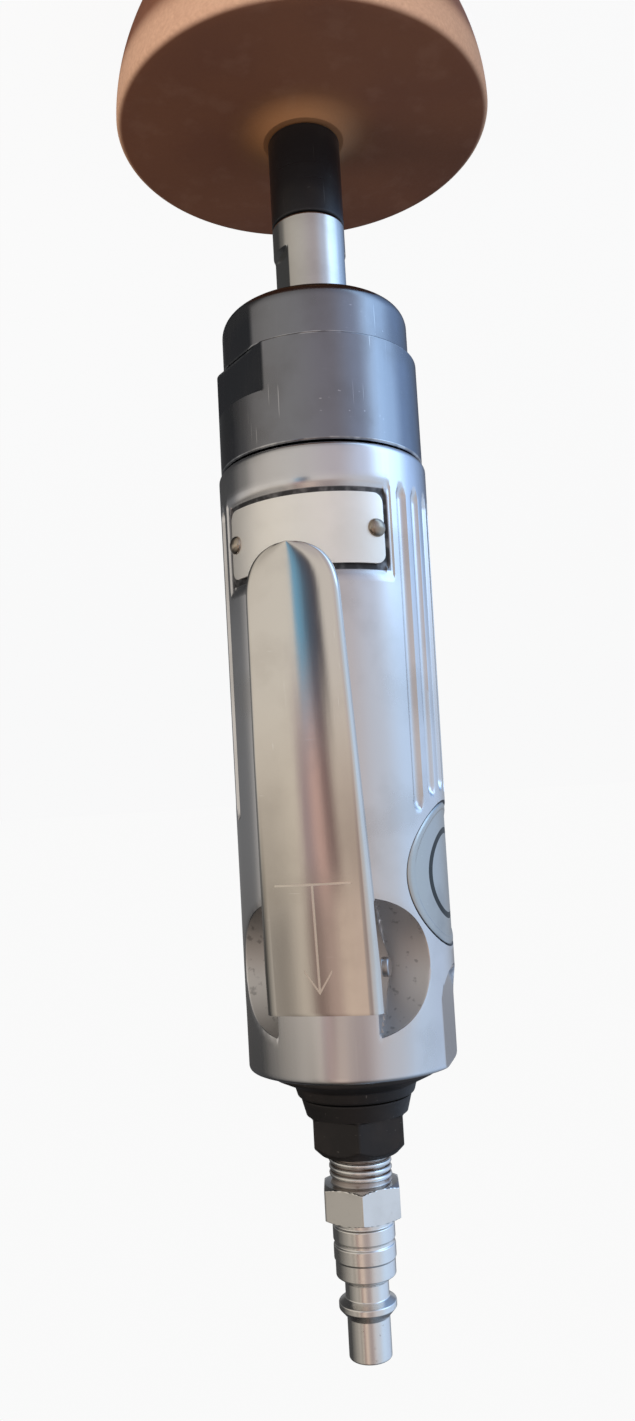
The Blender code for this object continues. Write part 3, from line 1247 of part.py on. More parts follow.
def build_plug():
    """Steel air plug: taper thread, hexagon, stepped body, neck, flange and tip."""
    hex_end = Z_PLUG_HEX + PLUG_HEX_LENGTH
    body_end = hex_end + PLUG_BODY_LENGTH
    land_end = body_end + PLUG_LAND_LENGTH
    neck_end = land_end + PLUG_NECK_LENGTH
    flange_end = neck_end + PLUG_FLANGE_LENGTH
    tip_end = flange_end + PLUG_TIP_LENGTH
    slope = PLUG_BODY_R - PLUG_NECK_R
    flare = PLUG_FLANGE_R - PLUG_NECK_R
    profile = [(PLUG_BORE_R, tip_end), (PLUG_TIP_R - CHAMFER, tip_end),
               (PLUG_TIP_R, tip_end - CHAMFER), (PLUG_TIP_R, flange_end),
               (PLUG_FLANGE_R, neck_end + PLUG_FLANGE_LENGTH / 2),
               (PLUG_FLANGE_R, neck_end + flare / 2), (PLUG_NECK_R, neck_end),
               (PLUG_NECK_R, land_end + slope / 2), (PLUG_BODY_R - PLUG_LAND_STEP, land_end),
               (PLUG_BODY_R - PLUG_LAND_STEP, body_end), (PLUG_BODY_R, body_end),
               (PLUG_BODY_R, hex_end), (PLUG_BODY_R, Z_PLUG_HEX + PLUG_HEX_LENGTH / 2),
               (PLUG_THREAD_R, Z_PLUG_HEX),
               (PLUG_THREAD_R, Z_BUSHING_END), (PLUG_THREAD_R - PLUG_THREAD_TAPER, Z_PLUG),
               (PLUG_BORE_R, Z_PLUG)]
    plug = turned_part("air_plug", profile, SMALL_STEPS, "bright_steel")
    loops = [hexagon(PLUG_HEX, REAR_HEX_TURN), circle(PLUG_BORE_R + CHAMFER, SMALL_STEPS)]
    wrench = prism_mesh("plug_hex", loops, Z_PLUG_HEX, hex_end)
    apply_boolean(plug, add_cutter("plug_hex", wrench), "UNION")


def main():
    """Build every piece of the tool."""
    global PARTS, CUTTERS
    clear_scene()
    PARTS = make_collection("eraser_wheel_air_tool")
    CUTTERS = make_collection("cutters")
    build_wheel()
    build_arbor()
    build_spindle()
    build_collar()
    build_bearing()
    build_gear_case()
    build_gears()
    build_rotor()
    build_end_plates()
    build_liner()
    build_housing()
    build_plate()
    build_badge()
    build_lever()
    build_valve()
    build_rear()
    build_bushing()
    build_plug()


main()
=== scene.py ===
"""Dresses an inline air tool with an eraser wheel: fine meshes, finishes, light and camera.

Sizes are in millimetres in the classes and become metres when a mesh is made. Angles round the
tool axis are measured from the lever's side at -Y towards +X.
"""

import logging
import math
from dataclasses import dataclass
from enum import Enum
from typing import Any, Callable, NamedTuple, Optional, Sequence, Union

import bmesh
import bpy
import numpy as np
from mathutils import Matrix, Vector


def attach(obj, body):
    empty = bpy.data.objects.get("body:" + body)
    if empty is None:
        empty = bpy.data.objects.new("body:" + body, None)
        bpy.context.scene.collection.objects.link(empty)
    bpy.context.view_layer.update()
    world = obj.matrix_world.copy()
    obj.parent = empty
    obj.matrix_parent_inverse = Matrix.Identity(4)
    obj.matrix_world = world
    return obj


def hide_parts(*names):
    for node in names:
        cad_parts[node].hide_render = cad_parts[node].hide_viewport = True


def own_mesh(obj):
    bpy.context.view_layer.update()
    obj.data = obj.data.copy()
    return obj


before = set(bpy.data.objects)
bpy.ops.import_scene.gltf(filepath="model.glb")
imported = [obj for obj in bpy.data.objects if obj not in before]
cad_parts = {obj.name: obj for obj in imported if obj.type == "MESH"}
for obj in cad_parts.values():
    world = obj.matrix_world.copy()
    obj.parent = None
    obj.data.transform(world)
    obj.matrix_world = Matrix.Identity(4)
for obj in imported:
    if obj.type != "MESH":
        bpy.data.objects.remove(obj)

LOG = logging.getLogger("air_tool")
MM = 0.001
PER_METRE = 1000.0
IMAGE_HEIGHT = 1421
SENSOR = 36.0
MERGE = 1e-7
TINY = 1e-6
FAR = 1e3  # a radius beyond every piece
FACING = 0.3  # least cosine of the side that a plane is cut on
HELIX_STEPS = 72
WIRE_STEPS = 10
CORNER_ROOM = 0.42  # share of a straight that one rounding may take
HOLD_ROOM = 0.48  # share of a straight that the point held beside a rounding may take
HOLD = 1.3  # distance of that point, in lengths of the rounding
STRAIGHT = math.radians(172.0)  # a corner opener than this isn't rounded
WHITE = (1.0, 1.0, 1.0, 1.0)

Mesh = bpy.types.Mesh
Field = np.ndarray
Colour = tuple[float, float, float]
Span = tuple[float, float]
Box = tuple[float, float, float, float]
Stops = tuple[Box, ...]
Profile = list[Span]
Section = tuple[Span, ...]
Cut = Callable[["Points"], Field]
Warp = Callable[["Points"], tuple[Field, Field]]


class Body(Enum):
    """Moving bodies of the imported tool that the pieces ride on."""

    TOOL = "tool_body"
    SPINDLE = "spindle"
    LEVER = "lever"
    VALVE = "valve"


class Grain(Enum):
    """Direction of the fine tool marks on a metal, as scales along X, Y and Z."""

    ROUND = (25.0, 25.0, 1500.0)
    LENGTH = (1300.0, 1300.0, 22.0)
    ACROSS = (40.0, 1300.0, 1300.0)
    CAST = (900.0, 900.0, 900.0)


# Node expressions


def _operator(operation: str, swapped: bool = False) -> Callable[..., "Value"]:
    """Make a method that adds one Math node to a value's graph.

    Args:
        operation: the node's operation.
        swapped: whether the value comes second.

    Returns:
        The method.
    """

    def method(self: "Value", other: "Scalar" = 0.0) -> "Value":
        """Join this value with another."""
        first, second = (other, self) if swapped else (self, other)
        return self.graph.add("ShaderNodeMath", {0: first, 1: second}, operation=operation)

    return method


class Value:
    """A node's output that takes part in Python expressions."""

    def __init__(self, graph: "Graph", socket: bpy.types.NodeSocket) -> None:
        """Hold the socket and the graph that it belongs to."""
        self.graph, self.socket = graph, socket

    __add__, __radd__ = _operator("ADD"), _operator("ADD", True)
    __sub__, __rsub__ = _operator("SUBTRACT"), _operator("SUBTRACT", True)
    __mul__, __truediv__, __pow__ = _operator("MULTIPLY"), _operator("DIVIDE"), _operator("POWER")
    size, most, angle_over = _operator("ABSOLUTE"), _operator("MAXIMUM"), _operator("ARCTAN2")
    sine, cosine = _operator("SINE"), _operator("COSINE")


Scalar = Union[Value, float]


class Graph:
    """A node tree whose outputs are held as values."""

    def __init__(self, tree: bpy.types.NodeTree) -> None:
        """Hold the tree."""
        self.tree = tree

    def add(self, kind: str, inputs: Optional[dict[Any, Any]] = None, output: Any = 0,
            **settings: Any) -> Value:
        """Add a node of any type.

        Args:
            kind: the node's type.
            inputs: values or links of its sockets.
            output: the output that is wanted, or None at the tree's end.
            **settings: the node's own settings, set before its sockets.

        Returns:
            The output as a value.
        """
        node = self.tree.nodes.new(kind)
        for key, setting in settings.items():
            setattr(node, key, setting)
        for key, value in (inputs or {}).items():
            self.feed(node.inputs[key], value)
        return Value(self, None if output is None else node.outputs[output])

    def feed(self, socket: bpy.types.NodeSocket, value: Any) -> None:
        """Link a value to a socket, or set a constant on it.

        Args:
            socket: the socket of a node.
            value: a value or a constant.
        """
        if isinstance(value, Value):
            self.tree.links.new(value.socket, socket)
        else:
            socket.default_value = value

    def ease(self, value: Scalar, low: float, high: float) -> Value:
        """Smooth step of a value between two limits."""
        limits = {0: value, 1: low, 2: high, 3: 0.0, 4: 1.0}
        return self.add("ShaderNodeMapRange", limits, interpolation_type="SMOOTHSTEP")

    def within(self, value: Scalar, low: float, high: float, soft: float) -> Value:
        """One between two limits and zero outside them."""
        return self.ease(value, low - soft, low) * (1.0 - self.ease(value, high, high + soft))

    def ramp(self, value: Scalar, stops: Stops) -> Value:
        """Colour ramp over a turn.

        Args:
            value: the turn, from zero to one.
            stops: angles in degrees from the turn's middle, each with its colour.

        Returns:
            The ramp's colour.
        """
        node = self.tree.nodes.new("ShaderNodeValToRGB")
        node.color_ramp.interpolation = "EASE"
        marks = node.color_ramp.elements
        for i, (angle, *colour) in enumerate(stops):
            place = angle / 360.0 + 0.5
            mark = marks[i] if i < 2 else marks.new(place)
            mark.position, mark.color = place, (*colour, 1.0)
        self.feed(node.inputs[0], value)
        return Value(self, node.outputs[0])

    def blend(self, factor: Scalar, first: Any, second: Any, mode: str = "MIX") -> Value:
        """Mix two colours.

        Args:
            factor: share of the second colour.
            first: a colour or a value.
            second: a colour or a value.
            mode: how the second goes over the first.

        Returns:
            The mixed colour.
        """
        one, two = ((*c, 1.0) if isinstance(c, tuple) else c for c in (first, second))
        return self.add("ShaderNodeMix", {0: factor, 6: one, 7: two}, 2, data_type="RGBA", blend_type=mode)


class MaterialGraph(Graph):
    """A material's node tree around one Principled shader."""

    def __init__(self, name: str) -> None:
        """Make the material and its Principled shader.

        Args:
            name: the material's name.
        """
        self.material = bpy.data.materials.new(name)
        self.material.use_nodes = True
        super().__init__(self.material.node_tree)
        self.shader = self.tree.nodes["Principled BSDF"]
        self.place = self.add("ShaderNodeTexCoord", output="Object")

    def axes(self) -> tuple[Value, ...]:
        """Object coordinates, which are the tool's own frame, in millimetres."""
        parts = {0: self.place}
        return tuple(self.add("ShaderNodeSeparateXYZ", parts, letter) * PER_METRE for letter in "XYZ")

    def noise(self, scale: Any, detail: float, turn: Sequence[float] = (0, 0, 0)) -> Value:
        """Noise over the object coordinates.

        Args:
            scale: frequency per metre, for all the axes or for each.
            detail: number of finer layers.
            turn: turn of the pattern about each axis.

        Returns:
            A value around one half.
        """
        scales = (scale,) * 3 if isinstance(scale, float) else scale
        mapped = self.add("ShaderNodeMapping", {"Vector": self.place, "Scale": scales, "Rotation": turn})
        return self.add("ShaderNodeTexNoise", {"Vector": mapped, "Scale": 1.0, "Detail": detail})

    def patches(self, scale: Any, detail: float, low: float, high: float,
                turn: Sequence[float] = (0, 0, 0)) -> Value:
        """Noise that is zero up to a low limit and one from a high limit."""
        return self.ease(self.noise(scale, detail, turn), low, high)

    def bump(self, height: Value, strength: float, distance: float) -> None:
        """Raise the surface by a height map through the shader's normal."""
        inputs = {"Height": height, "Strength": strength, "Distance": distance}
        self.feed(self.shader.inputs["Normal"], self.add("ShaderNodeBump", inputs, "Normal"))

    def finish(self, **sockets: Any) -> bpy.types.Material:
        """Set the shader's sockets by name, with underscores for spaces.

        Args:
            **sockets: values, links or constants.

        Returns:
            The finished material.
        """
        named = {socket.name.replace(" ", "_").lower(): socket for socket in self.shader.inputs}
        for key, value in sockets.items():
            value = (*value, 1.0) if isinstance(value, tuple) and len(value) == 3 else value
            self.feed(named[key], value)
        return self.material


def reach_of(first: Value, second: Value) -> Value:
    """Distance from two coordinates that stand square to each other."""
    return (first * first + second * second) ** 0.5


# Finishes


class Look(NamedTuple):
    """Colour, roughness and height of a surface while its finish is made."""

    colour: Value
    rough: Value
    height: Value


@dataclass(frozen=True)
class MetalFinish:
    """A worked metal with tool marks, stains and fine scratches."""

    name: str
    colour: Colour
    stain: Colour
    roughness: float
    spread: float = 0.12
    metallic: float = 1.0
    grain: Grain = Grain.ROUND
    grain_height: float = 0.12
    stain_share: float = 0.25
    scratch_share: float = 0.25
    scratch: Colour = (0.85, 0.85, 0.86)

    def build(self) -> bpy.types.Material:
        """Make the material.

        Returns:
            The material.
        """
        graph = MaterialGraph(self.name)
        stains = graph.patches(70.0, 6.0, 0.45, 0.72)
        grain = graph.noise(self.grain.value, 3.0)
        scratches = graph.patches((2200.0, 2200.0, 60.0), 1.0, 0.74, 0.8, (0.5, 0.35, 0.0)).most(
            graph.patches((60.0, 1900.0, 1900.0), 1.0, 0.75, 0.81, (0.2, 0.6, 0.9)))
        colour = graph.blend(stains * self.stain_share, self.colour, self.stain)
        colour = graph.blend(scratches * self.scratch_share, colour, self.scratch)
        rough = self.roughness + (stains - 0.3) * self.spread + (grain - 0.5) * self.spread
        height = grain + graph.noise(1600.0, 2.0) * 0.5 - scratches * 0.5
        look = self.mark(graph, Look(colour, rough, height))
        graph.bump(look.height, self.grain_height, 0.05 * MM)
        return graph.finish(base_color=look.colour, roughness=look.rough, metallic=self.metallic)

    def mark(self, graph: MaterialGraph, look: Look) -> Look:
        """Add what only this piece carries; a plain metal carries nothing more."""
        return look


@dataclass(frozen=True)
class CaseFinish(MetalFinish):
    """Blackened steel whose turned edges are worn bright."""

    edges: Section = ((88.5, 88.9), (89.2, 89.6), (112.6, 113.1))
    edge_soft: float = 0.12
    bare: Colour = (0.75, 0.76, 0.78)

    def mark(self, graph: MaterialGraph, look: Look) -> Look:
        """Wear the edges in uneven lines.

        Args:
            graph: the material's graph.
            look: the plain metal's look.

        Returns:
            The look with the marks on it.
        """
        z = graph.axes()[2]
        wear = graph.patches(240.0, 5.0, 0.38, 0.66)
        lines = graph.within(z, *self.edges[0], self.edge_soft)
        for edge in self.edges[1:]:
            lines = lines.most(graph.within(z, *edge, self.edge_soft))
        return look._replace(colour=graph.blend(lines * wear * 0.6, look.colour, self.bare))


@dataclass(frozen=True)
class BadgeFinish(MetalFinish):
    """Satin badge with a plain dark ring inside its rim."""

    centre_z: float = 205.0
    ring: Span = (8.5, 9.7)
    ring_soft: float = 0.12
    paint: Colour = (0.03, 0.035, 0.035)

    def mark(self, graph: MaterialGraph, look: Look) -> Look:
        """Paint the ring.

        Args:
            graph: the material's graph.
            look: the plain metal's look.

        Returns:
            The look with the marks on it.
        """
        _, y, z = graph.axes()
        ring = graph.within(reach_of(y, z - self.centre_z), *self.ring, self.ring_soft)
        colour = graph.blend(ring * 0.9, look.colour, self.paint)
        return Look(colour, look.rough + ring * 0.2, look.height - ring)


@dataclass(frozen=True)
class HousingFinish(MetalFinish):
    """Polished aluminium with painted shade and grime in the plate's recess, a painted shadow in the gap
    round the badge, and rough casting in the pockets.
    """

    panel: Span = (123.5, 141.0)
    panel_angle: Span = (49.0, 50.0)
    floor_r: float = 23.32
    web_half: float = 10.5
    pocket: tuple[float, float, float] = (-26.3, 222.5, 15.0)
    badge_z: float = 205.0
    badge_gap: Span = (15.0, 15.55)
    badge_side: Span = (-12.0, -10.0)
    outer_low: float = 24.477
    outer_slope: float = 0.00685
    # Colour of the grime and of the painted shade in the recess and round the badge.
    grime_and_shade: Colour = (0.09, 0.09, 0.095)
    cast: Colour = (0.6, 0.58, 0.56)

    def recess(self, graph: MaterialGraph, x: Value, y: Value, z: Value) -> Value:
        """Mask of the painted shade and grime on the plate's recess and of the painted shadow round the
        badge.

        Args:
            graph: the material's graph.
            x: coordinate across the tool.
            y: coordinate away from the lever.
            z: coordinate along the tool.

        Returns:
            Share of grime and painted shade.
        """
        low = 1.0 - graph.ease(reach_of(x, y), self.floor_r - 0.25, self.floor_r + 0.1)
        turn = x.angle_over(y * -1.0).size()
        in_panel = graph.within(z, *self.panel, 0.3)
        in_panel = in_panel * (1.0 - graph.ease(turn, *(math.radians(a) for a in self.panel_angle)))
        smear = graph.patches(420.0, 5.0, 0.3, 0.6)
        # Painted shadow: a dark ring in the gap round the badge.
        gap = graph.within(reach_of(y, z - self.badge_z), *self.badge_gap, 0.08)
        gap = gap * (1.0 - graph.ease(x, *self.badge_side))
        return (low * in_panel * (0.75 + smear * 0.25)).most(gap)

    def mark(self, graph: MaterialGraph, look: Look) -> Look:
        """Paint shade and grime into the recess, paint shadow into the badge's gap and roughen the pockets.

        Args:
            graph: the material's graph.
            look: the plain metal's look.

        Returns:
            The look with the marks on it.
        """
        x, y, z = graph.axes()
        grime_and_shade = self.recess(graph, x, y, z)
        centre_y, centre_z, radius = self.pocket
        pocket = 1.0 - graph.ease(reach_of(y - centre_y, z - centre_z), radius + 0.05, radius + 0.5)
        pocket = pocket * graph.ease(x.size(), self.web_half - 0.1, self.web_half + 0.2)
        pocket = pocket * graph.ease(self.outer_low - z * self.outer_slope - reach_of(x, y), 0.06, 0.4)
        pits = graph.noise(1100.0, 5.0)
        spots = graph.patches(620.0, 4.0, 0.58, 0.7)
        # Painted shade and grime in the recess, painted shadow round the badge.
        colour = graph.blend(grime_and_shade, look.colour, self.grime_and_shade)
        colour = graph.blend(pocket * 0.85, colour, self.cast)
        colour = graph.blend(pocket * spots * 0.4, colour, self.grime_and_shade)
        return Look(colour, look.rough + grime_and_shade * 0.35 + pocket * 0.28, look.height + pocket * pits * 4.0)


@dataclass(frozen=True)
class LeverFinish(MetalFinish):
    """Polished stainless sheet with a plain line and an arrow stamped in it."""

    line_z: float = 205.2
    line_half: float = 7.8
    shaft: Span = (205.4, 226.5)
    head_reach: float = 2.8
    head_slope: float = 1.5
    head_stroke: float = 0.256
    stroke: float = 0.16
    soft: float = 0.1
    face_y: Span = (-24.6, -23.8)
    fill: Colour = (0.93, 0.88, 0.8)

    def mark(self, graph: MaterialGraph, look: Look) -> Look:
        """Stamp the line and the arrow that points to the pivot's end.

        Args:
            graph: the material's graph.
            look: the plain metal's look.

        Returns:
            The look with the marks on it.
        """
        x, y, z = graph.axes()

        def bar(value: Value, half: float) -> Value:
            """One within a half width of zero."""
            return graph.within(value, -half, half, self.soft)

        line = bar(z - self.line_z, self.stroke) * bar(x, self.line_half)
        shaft = bar(x, self.stroke) * graph.within(z, *self.shaft, self.soft)
        head = bar(z - self.shaft[1] + x.size() * self.head_slope, self.head_stroke) * bar(x, self.head_reach)
        stamp = line.most(shaft).most(head) * (1.0 - graph.ease(y, *self.face_y))
        colour = graph.blend(stamp * 0.75, look.colour, self.fill)
        return Look(colour, look.rough + stamp * 0.2, look.height - stamp * 6.0)


@dataclass(frozen=True)
class PlugFinish(MetalFinish):
    """Bright steel with rust and grime in the thread and below the shoulders."""

    thread: Span = (262.0, 270.2)
    crest_r: float = 6.7
    rust: Colour = (0.16, 0.075, 0.03)

    def mark(self, graph: MaterialGraph, look: Look) -> Look:
        """Rust in the thread's roots and in patches up the body.

        Args:
            graph: the material's graph.
            look: the plain metal's look.

        Returns:
            The look with the marks on it.
        """
        x, y, z = graph.axes()
        root = 1.0 - graph.ease(reach_of(x, y), self.crest_r - 0.45, self.crest_r - 0.05)
        thread = graph.within(z, *self.thread, 0.4) * root
        patches = graph.patches(260.0, 5.0, 0.52, 0.7)
        spots = graph.patches(900.0, 3.0, 0.62, 0.72)
        rust = (thread * (0.55 + patches * 0.4)).most(patches * spots * 0.5)
        height = look.height + rust * graph.noise(1500.0, 3.0)
        return Look(graph.blend(rust, look.colour, self.rust), look.rough + rust * 0.4, height)


@dataclass(frozen=True)
class RubberFinish:
    """Moulded rubber: mottled, with fine pores; its rim carries painted light together with the dust where it
    rubs, and its hub a painted glow.
    """

    name: str
    colour: Colour
    shade: Colour
    dust_and_rim_light: Colour
    rubbed_and_lit_reach: Span
    # Painted glow: colour that lightens the rubber round the hub.
    hub: Colour = (0.3, 0.145, 0.06)
    hub_glow_reach: Span = (9.0, 20.0)
    roughness: float = 0.7

    def build(self) -> bpy.types.Material:
        """Make the material.

        Returns:
            The material.
        """
        graph = MaterialGraph(self.name)
        radius = reach_of(*graph.axes()[:2])
        mottle = graph.patches(38.0, 6.0, 0.35, 0.68)
        pores = graph.noise(1300.0, 4.0)
        # Painted light: the band at the rim takes the lit rubber's light colour, partly rubbed dust and
        # partly the light that falls on the rim.
        rubbed_and_lit = graph.ease(radius, *self.rubbed_and_lit_reach)
        smudge = graph.patches(150.0, 5.0, 0.5, 0.72)
        colour = graph.blend(mottle * 0.6, self.colour, self.shade)
        colour = graph.blend(smudge * 0.05, colour, self.dust_and_rim_light)
        # Painted glow round the hub.
        colour = graph.blend((1.0 - graph.ease(radius, *self.hub_glow_reach)) * 0.7, colour, self.hub)
        colour = graph.blend(rubbed_and_lit * (0.55 + pores * 0.45), colour, self.dust_and_rim_light)
        graph.bump(pores + mottle * 0.6, 0.3, 0.12 * MM)
        rough = self.roughness + (pores - 0.5) * 0.2 + rubbed_and_lit * 0.15
        return graph.finish(base_color=colour, roughness=rough, specular_ior_level=0.3)


@dataclass(frozen=True)
class FibreFinish:
    """Pressed fibre, felt or soft rubber: a fine matted surface."""

    name: str
    colour: Colour
    shade: Colour
    roughness: float
    weave: tuple[float, float, float] = (800.0, 800.0, 800.0)

    def build(self) -> bpy.types.Material:
        """Make the material.

        Returns:
            The material.
        """
        graph = MaterialGraph(self.name)
        fibres = graph.noise(self.weave, 5.0)
        clumps = graph.noise(180.0, 3.0)
        colour = graph.blend(graph.ease(fibres * 0.6 + clumps * 0.4, 0.35, 0.65), self.colour, self.shade)
        graph.bump(fibres, 0.35, 0.1 * MM)
        return graph.finish(base_color=colour, roughness=self.roughness + (fibres - 0.5) * 0.15)


FINISHES: tuple[Union[MetalFinish, RubberFinish, FibreFinish], ...] = (
    # Painted shade and light: the rubber's body colour is kept as dark as its shaded faces, and its rim
    # colour is the lit rubber's, partly dust.
    RubberFinish("eraser_rubber", (0.2, 0.082, 0.044), (0.165, 0.066, 0.04), (0.66, 0.41, 0.28),
                 (42.6, 43.9)),
    CaseFinish("black_steel", (0.25, 0.26, 0.29), (0.17, 0.165, 0.17), 0.22, 0.1, 1.0, Grain.LENGTH, 0.04,
               0.4, 0.5, (0.65, 0.65, 0.68)),
    MetalFinish("arbor_black", (0.03, 0.03, 0.033), (0.05, 0.045, 0.04), 0.34, 0.14, 0.8, Grain.ROUND, 0.06,
                0.5, 0.2, (0.3, 0.3, 0.3)),
    MetalFinish("rear_black", (0.028, 0.026, 0.026), (0.06, 0.05, 0.045), 0.52, 0.14, 0.75, Grain.CAST, 0.12,
                0.6, 0.3, (0.3, 0.28, 0.26)),
    MetalFinish("rivet_steel", (0.5, 0.44, 0.37), (0.2, 0.16, 0.12), 0.15, 0.1, 1.0, Grain.CAST, 0.05,
                0.5, 0.2),
    MetalFinish("bright_steel", (0.62, 0.61, 0.59), (0.38, 0.36, 0.34), 0.2, 0.1, 1.0, Grain.ROUND, 0.06),
    MetalFinish("gear_steel", (0.42, 0.42, 0.43), (0.25, 0.23, 0.2), 0.34, 0.12, 1.0, Grain.LENGTH, 0.1),
    HousingFinish("aluminium_body", (0.68, 0.68, 0.7), (0.5, 0.49, 0.48), 0.24, 0.08, 1.0, Grain.LENGTH,
                  0.045, 0.4, 0.2),
    MetalFinish("plate_aluminium", (0.86, 0.84, 0.8), (0.7, 0.68, 0.63), 0.4, 0.1, 0.8, Grain.ACROSS, 0.05,
                0.35, 0.25),
    BadgeFinish("badge_aluminium", (0.5, 0.51, 0.5), (0.36, 0.36, 0.35), 0.34, 0.1, 1.0, Grain.CAST, 0.06,
                0.5, 0.3),
    LeverFinish("stainless_lever", (0.67, 0.645, 0.61), (0.52, 0.49, 0.45), 0.1, 0.06, 1.0, Grain.LENGTH,
                0.04, 0.35, 0.25),
    PlugFinish("plug_steel", (0.82, 0.81, 0.79), (0.46, 0.44, 0.42), 0.24, 0.12, 1.0, Grain.ROUND, 0.08,
               0.4, 0.3),
    FibreFinish("seal_rubber", (0.02, 0.02, 0.021), (0.035, 0.034, 0.033), 0.62),
    MetalFinish("brass", (0.68, 0.48, 0.22), (0.4, 0.26, 0.1), 0.28, 0.12, 1.0, Grain.ROUND, 0.08),
    FibreFinish("vane_fibre", (0.24, 0.13, 0.06), (0.13, 0.07, 0.035), 0.66, (300.0, 1500.0, 1500.0)),
    FibreFinish("felt", (0.36, 0.34, 0.3), (0.22, 0.2, 0.18), 0.92, (600.0, 600.0, 1800.0)),
)

# Shapes


class Points(NamedTuple):
    """Points of a turned piece, as three grids of the same shape."""

    angle: Field
    radius: Field
    height: Field


def soft_min(first: Field, second: Field, width: float) -> Field:
    """Smaller of two fields, with the corner between them rounded.

    Args:
        first: one field.
        second: the other field.
        width: how wide the rounding is.

    Returns:
        The rounded minimum.
    """
    share = np.clip(0.5 + 0.5 * (second - first) / width, 0.0, 1.0)
    return second + (first - second) * share - width * share * (1.0 - share)


def ease(value: Field, low: float, high: float) -> Field:
    """Smooth step of a field between two limits."""
    share = np.clip((value - low) / (high - low), 0.0, 1.0)
    return share * share * (3.0 - 2.0 * share)


def plane_r(facing: Field, distance: Any) -> Field:
    """Radius of a plane at a distance from the axis, by the cosine of the angle to it."""
    return np.where(facing > FACING, distance / np.maximum(facing, FACING), FAR)


def lowered(radius: Field, floor: Any, share: Field) -> Field:
    """Bring a radius down to a floor by a share, where it lies above the floor."""
    return radius + np.minimum(floor - radius, 0.0) * share


def rounded(points: Sequence[Span], radius: float, closed: bool, steps: int = 4) -> Profile:
    """Round each corner of a profile and hold the straights beside it.

    Args:
        points: corners of the profile.
        radius: radius of the rounding.
        closed: whether the last point joins the first.
        steps: pieces of each rounding.

    Returns:
        The profile with rounded corners.
    """
    corners = [Vector(point) for point in points]
    result: Profile = []
    for i, here in enumerate(corners):
        if not closed and i in (0, len(corners) - 1):
            result.append((here.x, here.y))
            continue
        back = corners[i - 1] - here
        ahead = corners[(i + 1) % len(corners)] - here
        room = CORNER_ROOM * min(back.length, ahead.length)
        angle = back.angle(ahead)
        if angle > STRAIGHT:
            result.append((here.x, here.y))
            continue
        cut = min(radius / math.tan(angle / 2), room)
        hold = min(HOLD * cut, room / CORNER_ROOM * HOLD_ROOM)
        back.normalize()
        ahead.normalize()
        start, end = here + back * cut, here + ahead * cut
        result.append(tuple(here + back * hold))
        for k in range(steps + 1):
            t = k / steps
            point = start * (1 - t) ** 2 + here * 2 * t * (1 - t) + end * t * t
            result.append((point.x, point.y))
        result.append(tuple(here + ahead * hold))
    return result


def divided(profile: Sequence[Span], closed: bool, longest: Callable[[float], float]) -> Profile:
    """Split the long steps of a profile.

    Args:
        profile: points of the profile.
        closed: whether the last point joins the first.
        longest: longest step allowed at a height.

    Returns:
        The profile with more points.
    """
    result: Profile = []
    count = len(profile)
    for i in range(count if closed else count - 1):
        start, end = Vector(profile[i]), Vector(profile[(i + 1) % count])
        pieces = max(1, math.ceil((end - start).length / longest((start.y + end.y) / 2)))
        for k in range(pieces):
            point = start.lerp(end, k / pieces)
            result.append((point.x, point.y))
    if not closed:
        result.append(profile[-1])
    return result


def arc(centre: Span, radius: float, start: float, end: float, steps: int) -> Profile:
    """Points of an arc in a profile, with angles in degrees."""
    turns = [math.radians(start + (end - start) * i / steps) for i in range(steps + 1)]
    return [(centre[0] + radius * math.cos(a), centre[1] + radius * math.sin(a)) for a in turns]


def even_turns(count: int) -> Field:
    """Even angles round the tool axis."""
    return np.linspace(-math.pi, math.pi, count, endpoint=False)


def clean(mesh: Mesh, sharp: float = 38.0) -> Mesh:
    """Merge, turn outwards and smooth a mesh.

    Args:
        mesh: the mesh in metres.
        sharp: edges over this angle in degrees stay crisp.

    Returns:
        The same mesh.
    """
    shape = bmesh.new()
    shape.from_mesh(mesh)
    bmesh.ops.remove_doubles(shape, verts=shape.verts, dist=MERGE)
    bmesh.ops.dissolve_degenerate(shape, edges=shape.edges, dist=MERGE)
    bmesh.ops.recalc_face_normals(shape, faces=shape.faces)
    for face in shape.faces:
        face.smooth = True
    shape.to_mesh(mesh)
    shape.free()
    mesh.set_sharp_from_angle(angle=math.radians(sharp))
    return mesh


def grid_mesh(name: str, points: Field, wrap_rows: bool, wrap_columns: bool, split: bool = False) -> Mesh:
    """Make a mesh from a grid of points.

    Args:
        name: the mesh's name.
        points: rows by columns by 3, in millimetres.
        wrap_rows: whether the last row joins the first.
        wrap_columns: whether the last column joins the first.
        split: whether each face is split along its shorter diagonal, which follows carved rims.

    Returns:
        The mesh in metres.
    """
    rows, columns = points.shape[:2]
    index = np.arange(rows * columns).reshape(rows, columns)
    if wrap_rows:
        index = np.vstack([index, index[:1]])
    if wrap_columns:
        index = np.hstack([index, index[:, :1]])
    quads = np.stack([index[:-1, :-1], index[:-1, 1:], index[1:, 1:], index[1:, :-1]], -1).reshape(-1, 4)
    flat = points.reshape(-1, 3)
    if split:
        corners = flat[quads]
        first = np.linalg.norm(corners[:, 0] - corners[:, 2], axis=1)
        second = np.linalg.norm(corners[:, 1] - corners[:, 3], axis=1)
        quads = np.where((first < second)[:, None], quads, np.roll(quads, -1, axis=1))
        quads = np.concatenate([quads[:, [0, 1, 2]], quads[:, [0, 2, 3]]])
    mesh = bpy.data.meshes.new(name)
    mesh.from_pydata((flat * MM).tolist(), [], quads.tolist())
    return mesh


